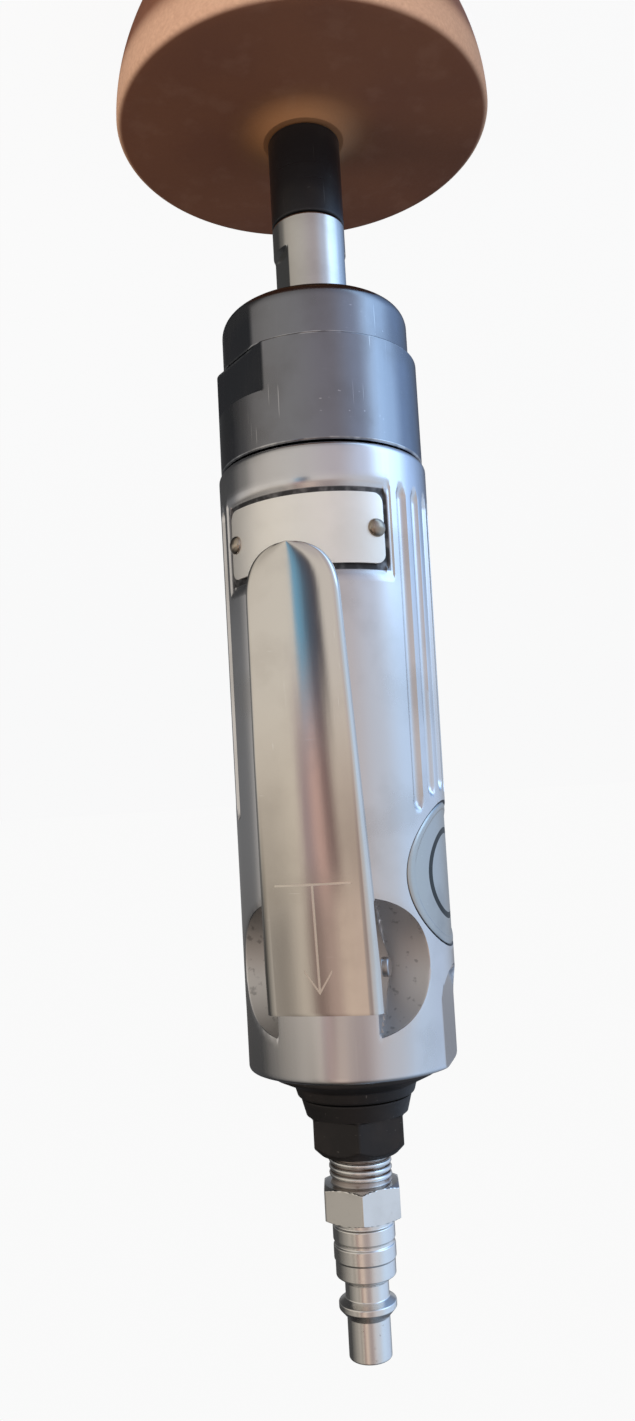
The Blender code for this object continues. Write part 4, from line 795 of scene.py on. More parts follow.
def turned(
    name: str,
    profile: Profile,
    turns: Field,
    cuts: Sequence[Cut] = (),
    closed: bool = False,
    matrix: Optional[Matrix] = None,
    warps: Sequence[Warp] = (),
) -> Mesh:
    """Turn a profile about the tool axis and carve it.

    Args:
        name: the mesh's name.
        profile: (radius, height) points.
        turns: angles of the columns.
        cuts: carvings that lower the radius.
        closed: whether the profile is a closed loop.
        matrix: place of the finished mesh, with its shift in metres.
        warps: shifts of angle and height that lay points on the edges of the carvings.

    Returns:
        The mesh in metres.
    """
    rows = np.array(profile)
    angle = np.repeat(turns[None, :], len(rows), 0)
    radius = np.repeat(rows[:, :1], len(turns), 1)
    height = np.repeat(rows[:, 1:], len(turns), 1)
    for warp in warps:
        angle, height = warp(Points(angle, radius, height))
    for cut in cuts:
        radius = cut(Points(angle, radius, height))
    points = np.stack([radius * np.sin(angle), -radius * np.cos(angle), height], -1)
    mesh = grid_mesh(name, points, closed, True, bool(warps))
    if matrix is not None:
        mesh.transform(matrix)
    return clean(mesh)


def side_frame(turn: float, height: float) -> Matrix:
    """Frame whose Z points out from the tool axis at an angle, at a height in millimetres.

    Args:
        turn: angle round the axis.
        height: height in millimetres.

    Returns:
        The frame, with its shift in metres.
    """
    out = Vector((math.sin(turn), -math.cos(turn), 0.0))
    up = Vector((0.0, 0.0, 1.0))
    axes = Matrix((up.cross(out), up, out)).transposed().to_4x4()
    return Matrix.Translation(up * height * MM) @ axes


def modified(mesh: Mesh, steps: Sequence[tuple[str, dict[str, Any]]]) -> Mesh:
    """Run modifiers on a mesh and keep the result.

    Args:
        mesh: the mesh to start from.
        steps: modifier types with their settings.

    Returns:
        The evaluated mesh.
    """
    holder = bpy.data.objects.new(mesh.name + "_work", mesh)
    bpy.context.scene.collection.objects.link(holder)
    for kind, settings in steps:
        modifier = holder.modifiers.new(kind, kind)
        for key, value in settings.items():
            setattr(modifier, key, value)
    return baked(holder, mesh.name)


def baked(holder: bpy.types.Object, name: str) -> Mesh:
    """Turn an object's evaluated shape into a plain mesh and remove the object.

    Args:
        holder: the object.
        name: the mesh's name.

    Returns:
        The plain mesh.
    """
    evaluated = holder.evaluated_get(bpy.context.evaluated_depsgraph_get())
    result = bpy.data.meshes.new_from_object(evaluated)
    result.name = name
    holder.modifiers.clear()
    bpy.data.objects.remove(holder, do_unlink=True)
    return result


def ring_mesh(name: str, box: Box, edge: float, count: int, matrix: Optional[Matrix] = None) -> Mesh:
    """Turn a ring of square section with rounded edges.

    Args:
        name: the mesh's name.
        box: inner and outer radius, then low and high end.
        edge: radius of its edges.
        count: columns round the axis.
        matrix: place of the finished mesh.

    Returns:
        The mesh in metres.
    """
    inner, outer, low, high = box
    ring = rounded([(inner, high), (outer, high), (outer, low), (inner, low)], edge, True)
    return turned(name, ring, even_turns(count), (), True, matrix)


def lathe(name: str, corners: Sequence[Span], edge: float, step: Callable[[float], float], count: int,
          cuts: Sequence[Cut] = (), closed: bool = True) -> Mesh:
    """Turn a section whose corners are rounded and whose long steps are split.

    Args:
        name: the mesh's name.
        corners: (radius, height) corners of the section.
        edge: radius of the rounding.
        step: longest step allowed at a height.
        count: columns round the axis.
        cuts: carvings that lower the radius.
        closed: whether the section is a closed loop.

    Returns:
        The mesh in metres.
    """
    rows = divided(rounded(corners, edge, closed), closed, step)
    return turned(name, rows, even_turns(count), cuts, closed)


def hex_corner(across: float) -> float:
    """Radius of a hexagon's corners from its width across flats."""
    return across / 2 / math.cos(math.pi / 6)


@dataclass(frozen=True)
class FlatCut:
    """Milled flat on a round piece, between two heights."""

    turn: float
    distance: float
    low: float
    high: float
    soft: float = 0.12

    def __call__(self, at: Points) -> Field:
        """Lower the radius to the flat's plane.

        Args:
            at: the points.

        Returns:
            Their lowered radius.
        """
        angle, radius, height = at
        plane = plane_r(np.cos(angle - self.turn), self.distance)
        share = ease(height, self.low - self.soft, self.low)
        share = share * (1.0 - ease(height, self.high, self.high + self.soft))
        return lowered(radius, soft_min(radius, plane, self.soft), share)


def flat_pair(turn: float, distance: float, low: float, high: float, soft: float = 0.12) -> list[Cut]:
    """Two opposite flats, with the turn in degrees."""
    return [FlatCut(math.radians(turn) + i * math.pi, distance, low, high, soft) for i in range(2)]


@dataclass(frozen=True)
class HexCut:
    """Hexagon on a turned piece, between two heights."""

    across: float
    low: float
    high: float
    turn: float = 0.0

    def __call__(self, at: Points) -> Field:
        """Lower the radius to the six flats.

        Args:
            at: the points.

        Returns:
            Their lowered radius.
        """
        angle, radius, height = at
        sixth = math.pi / 3
        local = (angle - self.turn + sixth / 2) % sixth - sixth / 2
        flats = self.across / 2 / np.cos(local)
        inside = (height > self.low) & (height < self.high)
        return np.where(inside, np.minimum(radius, flats), radius)


@dataclass(frozen=True)
class RimWarp:
    """Lays the points near a round carving's rim on the rim, for a carving made along X."""

    centre_y: float
    centre_z: float
    radius: float
    least_r: float
    sides: tuple[int, ...] = (-1, 1)

    def __call__(self, at: Points) -> tuple[Field, Field]:
        """Shift the nearer end of each grid line that crosses the rim.

        Args:
            at: the points.

        Returns:
            Their shifted angle and height.
        """
        angle, radius, height = at
        y, z = -radius * np.cos(angle) - self.centre_y, height - self.centre_z
        away = np.maximum(np.hypot(y, z), TINY)
        beyond = away - self.radius
        side = np.sign(np.sin(angle))
        valid = (radius > self.least_r) & np.isin(side, self.sides) & (np.abs(np.sin(angle)) > FACING)
        near = np.zeros_like(valid)
        for one, two in ((np.s_[:-1, :], np.s_[1:, :]), (np.s_[:, :-1], np.s_[:, 1:])):
            crossing = (beyond[one] * beyond[two] < 0) & valid[one] & valid[two] & ~near[one] & ~near[two]
            closer = np.abs(beyond[one]) <= np.abs(beyond[two])
            near[one] |= crossing & closer
            near[two] |= crossing & ~closer
        scale = self.radius / away
        moved = np.clip(-(self.centre_y + y * scale) / np.maximum(radius, TINY), -1.0, 1.0)
        return (np.where(near, side * np.arccos(moved), angle),
                np.where(near, self.centre_z + z * scale, height))


# Geometry Nodes


class NodeShape(Graph):
    """A Geometry Nodes tree built in the script, with named inputs."""

    def __init__(self, name: str, values: dict[str, Any]) -> None:
        """Start a tree with one geometry output and its named inputs.

        Args:
            name: the tree's name.
            values: numbers, or a material, by the names of the inputs.
        """
        super().__init__(bpy.data.node_groups.new(name, "GeometryNodeTree"))
        self.tree.interface.new_socket("Geometry", in_out="OUTPUT", socket_type="NodeSocketGeometry")
        self.values: dict[str, Any] = {}
        for key, value in values.items():
            kind = "NodeSocketMaterial" if isinstance(value, bpy.types.Material) else "NodeSocketFloat"
            socket = self.tree.interface.new_socket(key, in_out="INPUT", socket_type=kind)
            self.values[socket.identifier] = value
        self.start = self.tree.nodes.new("NodeGroupInput")

    def given(self, name: str) -> Value:
        """One of the tree's inputs."""
        return Value(self, self.start.outputs[name])

    def mesh(self, geometry: Value, name: str) -> Mesh:
        """End the tree, evaluate it and return a plain mesh.

        Args:
            geometry: the geometry to realise.
            name: the mesh's name.

        Returns:
            The plain mesh.
        """
        real = self.add("GeometryNodeRealizeInstances", {"Geometry": geometry})
        smooth = self.add("GeometryNodeSetShadeSmooth", {"Geometry": real})
        looks = {"Geometry": smooth, "Material": self.given("Material")}
        dressed = self.add("GeometryNodeSetMaterial", looks)
        self.add("NodeGroupOutput", {"Geometry": dressed}, None)
        holder = bpy.data.objects.new(name + "_work", bpy.data.meshes.new(name + "_work"))
        bpy.context.scene.collection.objects.link(holder)
        modifier = holder.modifiers.new("Shape", "NODES")
        modifier.node_group = self.tree
        for identifier, value in self.values.items():
            modifier[identifier] = value
        return baked(holder, name)


def helix(name: str, turns: float, radius: float, wire: float, start: float, length: float,
          material: bpy.types.Material) -> Mesh:
    """Round wire wound along Z, through a Geometry Nodes tree.

    Args:
        name: the mesh's name.
        turns: number of turns.
        radius: radius of the wire's middle line.
        wire: radius of the wire.
        start: height where the middle line starts.
        length: height from the first end to the last.
        material: the wire's material.

    Returns:
        The plain mesh.
    """
    tree = NodeShape(name + "_helix", {"Turns": turns, "Radius": radius * MM, "Wire": wire * MM,
                                       "Start": start * MM, "Length": length * MM, "Material": material})
    reach = tree.given("Radius")
    path = tree.add("GeometryNodeCurveSpiral", {
        "Resolution": HELIX_STEPS, "Rotations": tree.given("Turns"), "Start Radius": reach,
        "End Radius": reach, "Height": tree.given("Length")})
    circle = {"Resolution": WIRE_STEPS, "Radius": tree.given("Wire")}
    ring = tree.add("GeometryNodeCurvePrimitiveCircle", circle)
    sweep = tree.add("GeometryNodeCurveToMesh", {"Curve": path, "Profile Curve": ring, "Fill Caps": True})
    lift = tree.add("ShaderNodeCombineXYZ", {2: tree.given("Start")})
    return tree.mesh(tree.add("GeometryNodeTransform", {"Geometry": sweep, "Translation": lift}), name)


# Pieces


class Workshop:
    """Makes the finishes once and puts each piece on its body."""

    def __init__(self) -> None:
        """Build every finish."""
        self.materials = {finish.name: finish.build() for finish in FINISHES}

    def place(self, name: str, mesh: Mesh, finish: str, slot: str, *nodes: str,
              body: Body = Body.TOOL) -> bpy.types.Object:
        """Put a finished mesh on its body in place of CAD nodes.

        Args:
            name: the piece's name.
            mesh: the mesh, with its place in it.
            finish: name of the finish.
            slot: name of the piece's material slot; not used.
            *nodes: the CAD nodes that it stands for.
            body: the body that it rides on.

        Returns:
            The piece.
        """
        mesh.materials.clear()
        mesh.materials.append(self.materials[finish])
        piece = bpy.data.objects.new(name, mesh)
        bpy.context.scene.collection.objects.link(piece)
        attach(piece, body.value)
        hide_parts(*nodes)
        LOG.info("%s: %d faces on %s", name, len(mesh.polygons), body.value)
        return piece

    def dress(self, groups: dict[str, Sequence[str]]) -> None:
        """Give CAD nodes that stay their finish.

        Args:
            groups: the nodes of each finish.
        """
        for finish, nodes in groups.items():
            for slot in (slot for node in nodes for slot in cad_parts[node].material_slots):
                slot.material = self.materials[finish]


@dataclass
class WheelAssembly:
    """Rubber wheel on its black arbor, with washer and nut in the front recess."""

    radius: float = 44.0
    width: float = 29.0
    face_r: float = 36.0
    crown: float = 1.9
    shoulder: float = 1.4
    hub_r: float = 9.6
    hub_top: float = 31.0
    hub_spread: float = 6.0
    bore: float = 5.1
    recess_r: float = 14.0
    recess_depth: float = 8.6
    arbor: Section = ((0.0, 42.7), (4.3, 42.7), (4.3, 53.0), (8.5, 53.0), (8.5, 31.3), (4.8, 31.3),
                      (4.8, 0.5), (0.0, 0.5))
    washer: tuple[float, float, float] = (10.5, 6.8, 8.3)
    nut: tuple[float, float, float] = (16.0, 1.5, 6.5)
    nut_face: float = 0.98
    rim_steps: int = 24
    hub_steps: int = 12

    def wheel_mesh(self) -> Mesh:
        """Wheel with crowned rim, hub and nut recess.

        Returns:
            The mesh in metres.
        """
        top, rise, drop = self.width - self.shoulder, self.hub_top - self.width, self.radius - self.face_r
        shares = [i / self.rim_steps for i in range(self.rim_steps + 1)]
        rim = [(self.radius - drop * t ** self.crown, top * (1 - t)) for t in shares]
        edge = arc((self.radius - self.shoulder, top), self.shoulder, 90, 8, 6)
        shares = [i / self.hub_steps for i in range(1, self.hub_steps + 1)]
        hub = [(self.hub_r + self.hub_spread * t, self.width + rise * (1 - t) ** 2) for t in shares]
        inner = [(self.bore, 10.0), (self.bore, self.hub_top), (self.hub_r, self.hub_top), hub[1]]
        outer = [rim[-1], (self.recess_r, 0.0), (self.recess_r, self.recess_depth),
                 (self.bore, self.recess_depth)]
        inner, outer = (rounded(corners, 0.5, False) for corners in (inner, outer))
        profile = inner[1:-1] + hub[1:] + edge + rim + outer[1:]
        return turned("wheel_rubber", divided(profile, True, lambda _: 2.0), even_turns(192), (), True)

    def nut_mesh(self) -> Mesh:
        """Hexagon nut with chamfered corners.

        Returns:
            The mesh in metres.
        """
        across, low, high = self.nut
        corner, face = hex_corner(across), across / 2 * self.nut_face
        drop = (corner - face) * math.tan(math.radians(30))
        outline = [(self.bore, high), (face, high), (corner, high - drop), (corner, low + drop), (face, low),
                   (self.bore, low)]
        return lathe("nut_turned", outline, 0.15, lambda _: 0.5, 180, [HexCut(across, low - 1, high + 1)])

    def build(self, shop: Workshop) -> None:
        """Make and place the four pieces.

        Args:
            shop: the workshop that holds the finishes.
        """
        arbor = lathe("arbor_turned", self.arbor, 0.5, lambda _: 3.0, 128, closed=False)
        washer = ring_mesh("washer_turned", (self.bore, *self.washer), 0.25, 96)
        for name, mesh, finish, slot, node in (
            ("wheel_rubber", self.wheel_mesh(), "eraser_rubber", "eraser_rubber", "eraser_wheel"),
            ("arbor_turned", arbor, "arbor_black", "black_steel", "wheel_arbor"),
            ("washer_turned", washer, "bright_steel", "bright_steel", "wheel_washer"),
            ("nut_turned", self.nut_mesh(), "bright_steel", "bright_steel", "wheel_nut"),
        ):
            shop.place(name, mesh, finish, slot, node, body=Body.SPINDLE)


@dataclass
class FrontAssembly:
    """Spindle nose with wrench flats, seal, black collar and black gear case."""

    spindle: Section = (
        (0.0, 99.2), (15.4, 99.2), (15.4, 93.2), (8.5, 93.2), (8.5, 88.8), (7.5, 88.8), (7.5, 79.6),
        (8.5, 79.6), (8.5, 53.3), (4.0, 53.3), (4.0, 43.0), (0.0, 43.0))
    nose: Span = (53.3, 79.6)
    nose_turn: float = 56.0
    flats: tuple[float, float, float] = (7.0, 60.2, 74.2)
    flat_turn: float = 42.0
    flat_past: float = 2.0
    collar_r: float = 21.5
    collar: Span = (76.2, 88.9)
    collar_round: float = 4.0
    seal_r: float = 11.1
    seal: Box = (8.8, 10.8, 76.7, 79.1)
    pocket_r: float = 14.3
    spigot: Span = (18.0, 92.2)
    case: Section = (
        (19.675, 118.4), (21.4, 118.4), (21.4, 113.1), (23.1, 113.1), (23.1, 89.2), (18.3, 89.2),
        (18.3, 92.5), (19.675, 92.5))
    case_low: float = 89.2
    case_flat: Span = (20.7, 99.9)
    flat_end: Span = (98.0, 102.0)

    def spindle_mesh(self) -> Mesh:
        """Spindle with two wrench flats and the planet carrier.

        Returns:
            The mesh in metres.
        """
        low, high = self.nose
        cuts = flat_pair(self.nose_turn, *self.flats, 0.1)
        return lathe("spindle_turned", self.spindle, 0.4, lambda z: 0.35 if low < z < high else 3.0, 220,
                     cuts, False)

    def milled(self, low: float) -> list[Cut]:
        """Wrench flats that run across the collar and the gear case."""
        distance, high = self.case_flat
        return flat_pair(self.flat_turn, distance, low - self.flat_past, high)

    def collar_mesh(self) -> Mesh:
        """Collar with a rounded nose and the milled flats.

        Returns:
            The mesh in metres.
        """
        low, high = self.collar
        spigot_r, spigot_end = self.spigot
        back = rounded([(self.pocket_r, spigot_end), self.spigot, (spigot_r, high), (self.collar_r, high)],
                       0.3, False)[:-1]
        centre = (self.collar_r - self.collar_round, low + self.collar_round)
        nose = arc(centre, self.collar_round, 0, -90, 12)
        rest = [(self.seal_r, low), (self.seal_r, self.nose[1]), (self.pocket_r, self.nose[1])]
        corner = rounded([(spigot_r, high), (self.collar_r, high), nose[0]], 0.4, False)[1:-1]
        rows = divided(back + corner + nose + rest, True, lambda _: 0.4)
        return turned("collar_turned", rows, even_turns(300), self.milled(low), True)

    def case_mesh(self) -> Mesh:
        """Gear case with the milled flats and its spigot.

        Returns:
            The mesh in metres.
        """
        low, high = self.flat_end
        return lathe("gear_case_turned", self.case, 0.45, lambda z: 0.35 if low < z < high else 0.9, 340,
                     self.milled(self.case_low))

    def build(self, shop: Workshop) -> None:
        """Make and place the four pieces.

        Args:
            shop: the workshop that holds the finishes.
        """
        shop.place("spindle_turned", self.spindle_mesh(), "bright_steel", "bright_steel", "output_spindle",
                   body=Body.SPINDLE)
        seal = ring_mesh("seal_ring", self.seal, 0.4, 96)
        shop.place("seal_ring", seal, "seal_rubber", "seal_rubber", "spindle_seal")
        shop.place("collar_turned", self.collar_mesh(), "black_steel", "black_steel", "front_collar")
        shop.place("gear_case_turned", self.case_mesh(), "black_steel", "black_steel", "gear_case")


@dataclass
class HousingAssembly:
    """Aluminium housing with its carvings, the bare plate, its rivets and the bare badge."""

    low: float = 113.4
    high: float = 244.8
    front_r: float = 23.7
    rear_r: float = 22.8
    shoulder: float = 1.6
    rear_round: float = 1.2
    bores: Section = ((21.7, 113.4), (21.7, 118.7), (20.3, 118.7), (20.3, 183.1), (0.0, 183.1))
    inlet: Section = ((0.0, 212.0), (5.0, 212.0), (5.0, 234.1), (8.8, 234.1), (8.8, 244.8), (11.7, 244.8),
                      (11.7, 239.9))
    silencer: Span = (17.3, 239.9)
    steps: Section = ((144.0, 0.42), (184.0, 1.0), (math.inf, 0.46))
    carved: float = 125.0
    groove_count: int = 6
    groove_pitch: float = 12.5
    groove_width: float = 3.0
    groove_depth: float = 1.0
    groove_edge: float = 0.16
    groove_start: float = 124.0
    groove_to_badge: float = 19.6
    panel: Box = (122.0, 142.5, 51.0, 0.35)
    recess: Box = (123.5, 141.0, 48.8, 0.9)
    step_wall: Span = (-0.2, 0.15)
    skin: float = 0.3
    plate: tuple[float, float, float] = (124.6, 139.9, 46.0)
    plate_r: Span = (23.04, 23.54)
    plate_corner: float = 2.2
    rivet_turn: float = 41.5
    rivet_z: float = 132.25
    rivet_r: float = 2.0
    rivet_height: float = 1.2
    badge_z: float = 205.0
    badge_r: float = 15.2
    badge_depth: float = 1.0
    badge_slope: Span = (0.1, 0.45)
    least_r: float = 20.0
    badge_top: float = 22.77
    badge_rim: float = 0.22
    badge_bead: Section = ((13.5, 13.9), (14.7, 15.2))
    badge_sheet: float = 0.5
    pivot_z: float = 222.5
    web_half: float = 10.5
    pocket_r: float = 15.0
    pocket_y: float = 26.3
    pocket_edge: float = 0.25
    core_r: float = 11.0
    flat_x: float = 21.3
    flat_from: float = 224.3
    flat_past: float = 0.6
    flat_slope: Span = (0.0, 0.25)
    valve_z: float = 200.0
    valve_slope: Span = (6.0, 6.4)
    valve_floor: float = 12.45

    def outer_r(self, height: Any) -> Any:
        """Radius of the plain taper at a height."""
        return self.front_r + (self.rear_r - self.front_r) * (height - self.low) / (self.high - self.low)

    def band(self, angle: Field, height: Field, box: Box, corner: float) -> Field:
        """Distance outside a rounded rectangle laid round the lever's side.

        Args:
            angle: angles of the points.
            height: heights of the points.
            box: low and high height, half angle and depth.
            corner: radius of its corners.

        Returns:
            Signed distance, negative inside.
        """
        low, high, half, _ = box
        across = np.abs(angle) * self.front_r - math.radians(half) * self.front_r + corner
        along = np.abs(height - (low + high) / 2) - (high - low) / 2 + corner
        outside = np.hypot(np.maximum(across, 0.0), np.maximum(along, 0.0))
        return outside + np.minimum(np.maximum(across, along), 0.0) - corner

    def cut_panel(self, at: Points) -> Field:
        """Lower the stepped recess of the plate.

        Args:
            at: the points.

        Returns:
            Their lowered radius.
        """
        angle, radius, height = at
        outer = self.outer_r(height) - radius < self.skin
        panel, recess = (1.0 - ease(self.band(angle, height, box, corner), *self.step_wall)
                         for box, corner in ((self.panel, 0.6), (self.recess, 1.6)))
        depth = self.panel[3] * panel + (self.recess[3] - self.panel[3]) * recess
        return np.where(outer, radius - depth, radius)

    def cut_grooves(self, at: Points) -> Field:
        """Lower the long grip grooves on both sides.

        Args:
            at: the points.

        Returns:
            Their lowered radius.
        """
        angle, radius, height = at
        ball = (self.groove_width ** 2 / 4 + self.groove_depth ** 2) / (2 * self.groove_depth)
        lift = ball - self.groove_depth
        outer = self.outer_r(height) - radius < self.skin
        start = self.groove_start
        for side in (-1, 1):
            for i in range(self.groove_count):
                away = math.radians(self.groove_pitch) * (i - (self.groove_count - 1) / 2)
                middle = side * (math.pi / 2 + away)
                reach = min(abs(away) * self.rear_r, 0.9 * self.groove_to_badge)
                end = self.badge_z - math.sqrt(self.groove_to_badge ** 2 - reach ** 2)
                across = (angle - middle) * self.outer_r(height)
                along = np.maximum(np.maximum(start - height, height - end), 0.0)
                span = np.minimum(across ** 2 + along ** 2, ball ** 2)
                depth = np.sqrt(ball ** 2 - span) - lift
                eased = -soft_min(-depth, np.zeros_like(depth), self.groove_edge)
                depth = np.where(depth > -self.skin, eased, 0.0)
                radius = np.where(outer, radius - depth, radius)
        return radius

    def cut_pockets(self, at: Points) -> Field:
        """Lower the round pockets that leave the lever's web between them.

        Args:
            at: the points.

        Returns:
            Their lowered radius.
        """
        angle, radius, height = at
        away = np.clip(self.pocket_r ** 2 - (height - self.pivot_z) ** 2, 0.0, None)
        inside = np.abs(height - self.pivot_z) < self.pocket_r
        floor = plane_r(np.cos(angle), self.pocket_y - np.sqrt(away))
        wall = plane_r(np.abs(np.sin(angle)), self.web_half)
        limit = np.where(inside, np.maximum(floor, wall), FAR)
        return np.where(radius > self.core_r, soft_min(radius, limit, self.pocket_edge), radius)

    def flat_half(self) -> float:
        """Radius of the rear flats' round ends."""
        return math.sqrt(self.rear_r ** 2 - self.flat_x ** 2) + self.flat_past

    def cut_flats(self, at: Points) -> Field:
        """Lower the round-ended flats at the rear of both sides.

        Args:
            at: the points.

        Returns:
            Their lowered radius.
        """
        angle, radius, height = at
        half = self.flat_half()
        for side in (-1, 1):
            plane = plane_r(np.cos(angle - side * math.pi / 2), self.flat_x)
            across = np.clip(np.abs(np.cos(angle) * radius), 0.0, half)
            edge = self.flat_from + half - np.sqrt(half ** 2 - across ** 2)
            radius = lowered(radius, soft_min(radius, plane, 0.2), ease(height - edge, *self.flat_slope))
        return radius

    def cut_badge(self, at: Points) -> Field:
        """Lower the badge's round recess.

        Args:
            at: the points.

        Returns:
            Their lowered radius.
        """
        angle, radius, height = at
        reach = np.hypot(radius * np.cos(angle), height - self.badge_z)
        inner, outer = (self.badge_r + slope for slope in self.badge_slope)
        share = np.where(np.sin(angle) < 0, 1.0 - ease(reach, inner, outer), 0.0)
        return lowered(radius, self.outer_r(self.badge_z) - self.badge_depth, share)

    def cut_valve(self, at: Points) -> Field:
        """Lower the mouth of the valve's bore under the lever.

        Args:
            at: the points.

        Returns:
            Their lowered radius.
        """
        angle, radius, height = at
        reach = np.hypot(radius * np.sin(angle), height - self.valve_z)
        share = np.where(np.cos(angle) > FACING, 1.0 - ease(reach, *self.valve_slope), 0.0)
        return lowered(radius, plane_r(np.cos(angle), self.valve_floor), share)

    def turns(self) -> Field:
        """Angles that are close on the carved sides and wide at the plain back.

        Returns:
            The angles.
        """
        carved = np.linspace(-self.carved, self.carved, 290)
        plain = np.linspace(self.carved, 360.0 - self.carved, 40)[1:-1]
        return np.radians(np.concatenate([carved, plain]))

    def spacing(self, height: float) -> float:
        """Longest step of the profile at a height."""
        return next(step for end, step in self.steps if height < end)

    def shell_mesh(self) -> Mesh:
        """Housing as one closed shell with all its carvings.

        Returns:
            The mesh in metres.
        """
        shoulder_z = self.low + self.shoulder
        shoulder = arc((self.outer_r(shoulder_z) - self.shoulder, shoulder_z), self.shoulder, 0, -90, 8)
        front_z = self.low + 4.0
        rear = rounded([self.silencer, (self.silencer[0], self.high), (self.rear_r, self.high),
                        (self.outer_r(front_z), front_z)], self.rear_round, False, 8)
        outside = divided(rear[1:-1] + shoulder, False, self.spacing)
        profile = divided([*self.inlet, rear[0]], False, lambda _: 4.0) + outside
        profile += divided(self.bores, False, lambda _: 6.0)
        cuts = [self.cut_panel, self.cut_grooves, self.cut_flats, self.cut_badge, self.cut_pockets,
                self.cut_valve]
        half = self.flat_half()
        warps = [RimWarp(0.0, self.badge_z, self.badge_r + self.badge_slope[1], self.least_r, (-1,)),
                 RimWarp(-self.pocket_y, self.pivot_z, self.pocket_r, self.least_r),
                 RimWarp(0.0, self.flat_from + half, half, self.least_r)]
        return turned("housing_shell", profile, self.turns(), cuts, warps=warps)

    def plate_mesh(self) -> Mesh:
        """Bare plate with round corners, bent round the housing.

        Returns:
            The mesh in metres.
        """
        low, high, half = self.plate
        corner = self.plate_corner
        quarter = [corner - x for x, _ in arc((0.0, 0.0), corner, 0, 90, 8)]
        heights = [low + q for q in quarter] + list(np.linspace(low + corner, high - corner, 14)[1:-1])
        heights += [high - q for q in reversed(quarter)]
        under, radius = self.plate_r
        half_arc = math.radians(half) * radius
        shares = np.linspace(-1.0, 1.0, 97)
        rows = []
        for height in heights:
            gap = corner - min(height - low, high - height)
            inset = corner - math.sqrt(max(corner ** 2 - max(gap, 0.0) ** 2, 0.0))
            turns = shares * (half_arc - inset) / radius
            spread = np.full_like(turns, height)
            rows.append(np.stack([radius * np.sin(turns), -radius * np.cos(turns), spread], -1))
        sheet = clean(grid_mesh("plate_sheet", np.array(rows), False, False))
        thickness = (radius - under) * MM
        return modified(self.outwards(sheet), [
            ("SOLIDIFY", {"thickness": thickness, "offset": -1.0}),
            ("BEVEL", {"width": 0.12 * MM, "segments": 2, "limit_method": "ANGLE"}),
        ])

    @staticmethod
    def outwards(mesh: bpy.types.Mesh) -> Mesh:
        """Turn an open sheet's faces away from the tool axis.

        Args:
            mesh: the sheet.

        Returns:
            The same mesh.
        """
        face = mesh.polygons[len(mesh.polygons) // 2]
        if face.normal.dot(Vector((face.center.x, face.center.y, 0.0))) < 0:
            mesh.flip_normals()
        return mesh

    def rivet_mesh(self, shop: Workshop) -> Mesh:
        """Two dome rivets through one Geometry Nodes tree.

        Args:
            shop: the workshop that holds the finishes.

        Returns:
            The mesh in metres.
        """
        tree = NodeShape("dome_rivets", {
            "Head Radius": self.rivet_r * MM, "Head Height": self.rivet_height * MM,
            "Seat Radius": self.plate_r[1] * MM, "Half Angle": math.radians(self.rivet_turn),
            "Seat Height": self.rivet_z * MM, "Material": shop.materials["rivet_steel"]})
        ball = tree.add("GeometryNodeMeshUVSphere", {"Segments": 40, "Rings": 24, "Radius": 1.0})
        width = tree.given("Head Radius")
        scale = tree.add("ShaderNodeCombineXYZ", {0: width, 1: width, 2: tree.given("Head Height")})
        dome = tree.add("GeometryNodeTransform", {"Geometry": ball, "Scale": scale})
        points = tree.add("GeometryNodePoints", {"Count": 2})
        side = tree.add("GeometryNodeInputIndex") * 2.0 - 1.0
        turn = side * tree.given("Half Angle")
        out = tree.add("ShaderNodeCombineXYZ", {0: turn.sine(), 1: turn.cosine() * -1.0})
        radius = tree.given("Seat Radius")
        seat = tree.add("ShaderNodeVectorMath", {0: out, "Scale": radius}, operation="SCALE")
        lift = tree.add("ShaderNodeCombineXYZ", {2: tree.given("Seat Height")})
        spot = tree.add("ShaderNodeVectorMath", {0: seat, 1: lift}, operation="ADD")
        placed = tree.add("GeometryNodeSetPosition", {"Geometry": points, "Position": spot})
        aim = tree.add("FunctionNodeAlignRotationToVector", {"Vector": out}, axis="Z")
        stamps = {"Points": placed, "Instance": dome, "Rotation": aim}
        return tree.mesh(tree.add("GeometryNodeInstanceOnPoints", stamps), "plate_rivets")

    def badge_mesh(self) -> Mesh:
        """Bare round badge with a low raised rim, curved like the housing.

        Returns:
            The mesh in metres.
        """
        reaches = np.concatenate([np.linspace(0.0, 13.2, 16), np.linspace(13.4, self.badge_r, 10)])
        rim_in, rim_out = self.badge_bead
        rows = []
        turns = even_turns(128)
        for reach in reaches:
            rim = ease(reach, *rim_in) * (1.0 - ease(reach, *rim_out))
            radius = self.badge_top + self.badge_rim * rim
            across = reach * np.cos(turns)
            rows.append(np.stack([-np.sqrt(radius ** 2 - across ** 2), across,
                                  self.badge_z + reach * np.sin(turns)], -1))
        sheet = self.outwards(clean(grid_mesh("badge_sheet", np.array(rows), False, True)))
        return modified(sheet, [("SOLIDIFY", {"thickness": self.badge_sheet * MM, "offset": -1.0})])

    def build(self, shop: Workshop) -> None:
        """Make and place the housing and what is fixed on it.

        Args:
            shop: the workshop that holds the finishes.
        """
        for name, mesh, finish, slot, nodes in (
            ("housing_shell", self.shell_mesh(), "aluminium_body", "aluminium_body", ["housing"]),
            ("plate_bare", self.plate_mesh(), "plate_aluminium", "plate_aluminium", ["name_plate"]),
            ("plate_rivets", self.rivet_mesh(shop), "rivet_steel", "bright_steel",
             ["rivet_left", "rivet_right"]),
            ("badge_bare", self.badge_mesh(), "badge_aluminium", "plate_aluminium", ["side_badge"]),
        ):
            shop.place(name, mesh, finish, slot, *nodes)


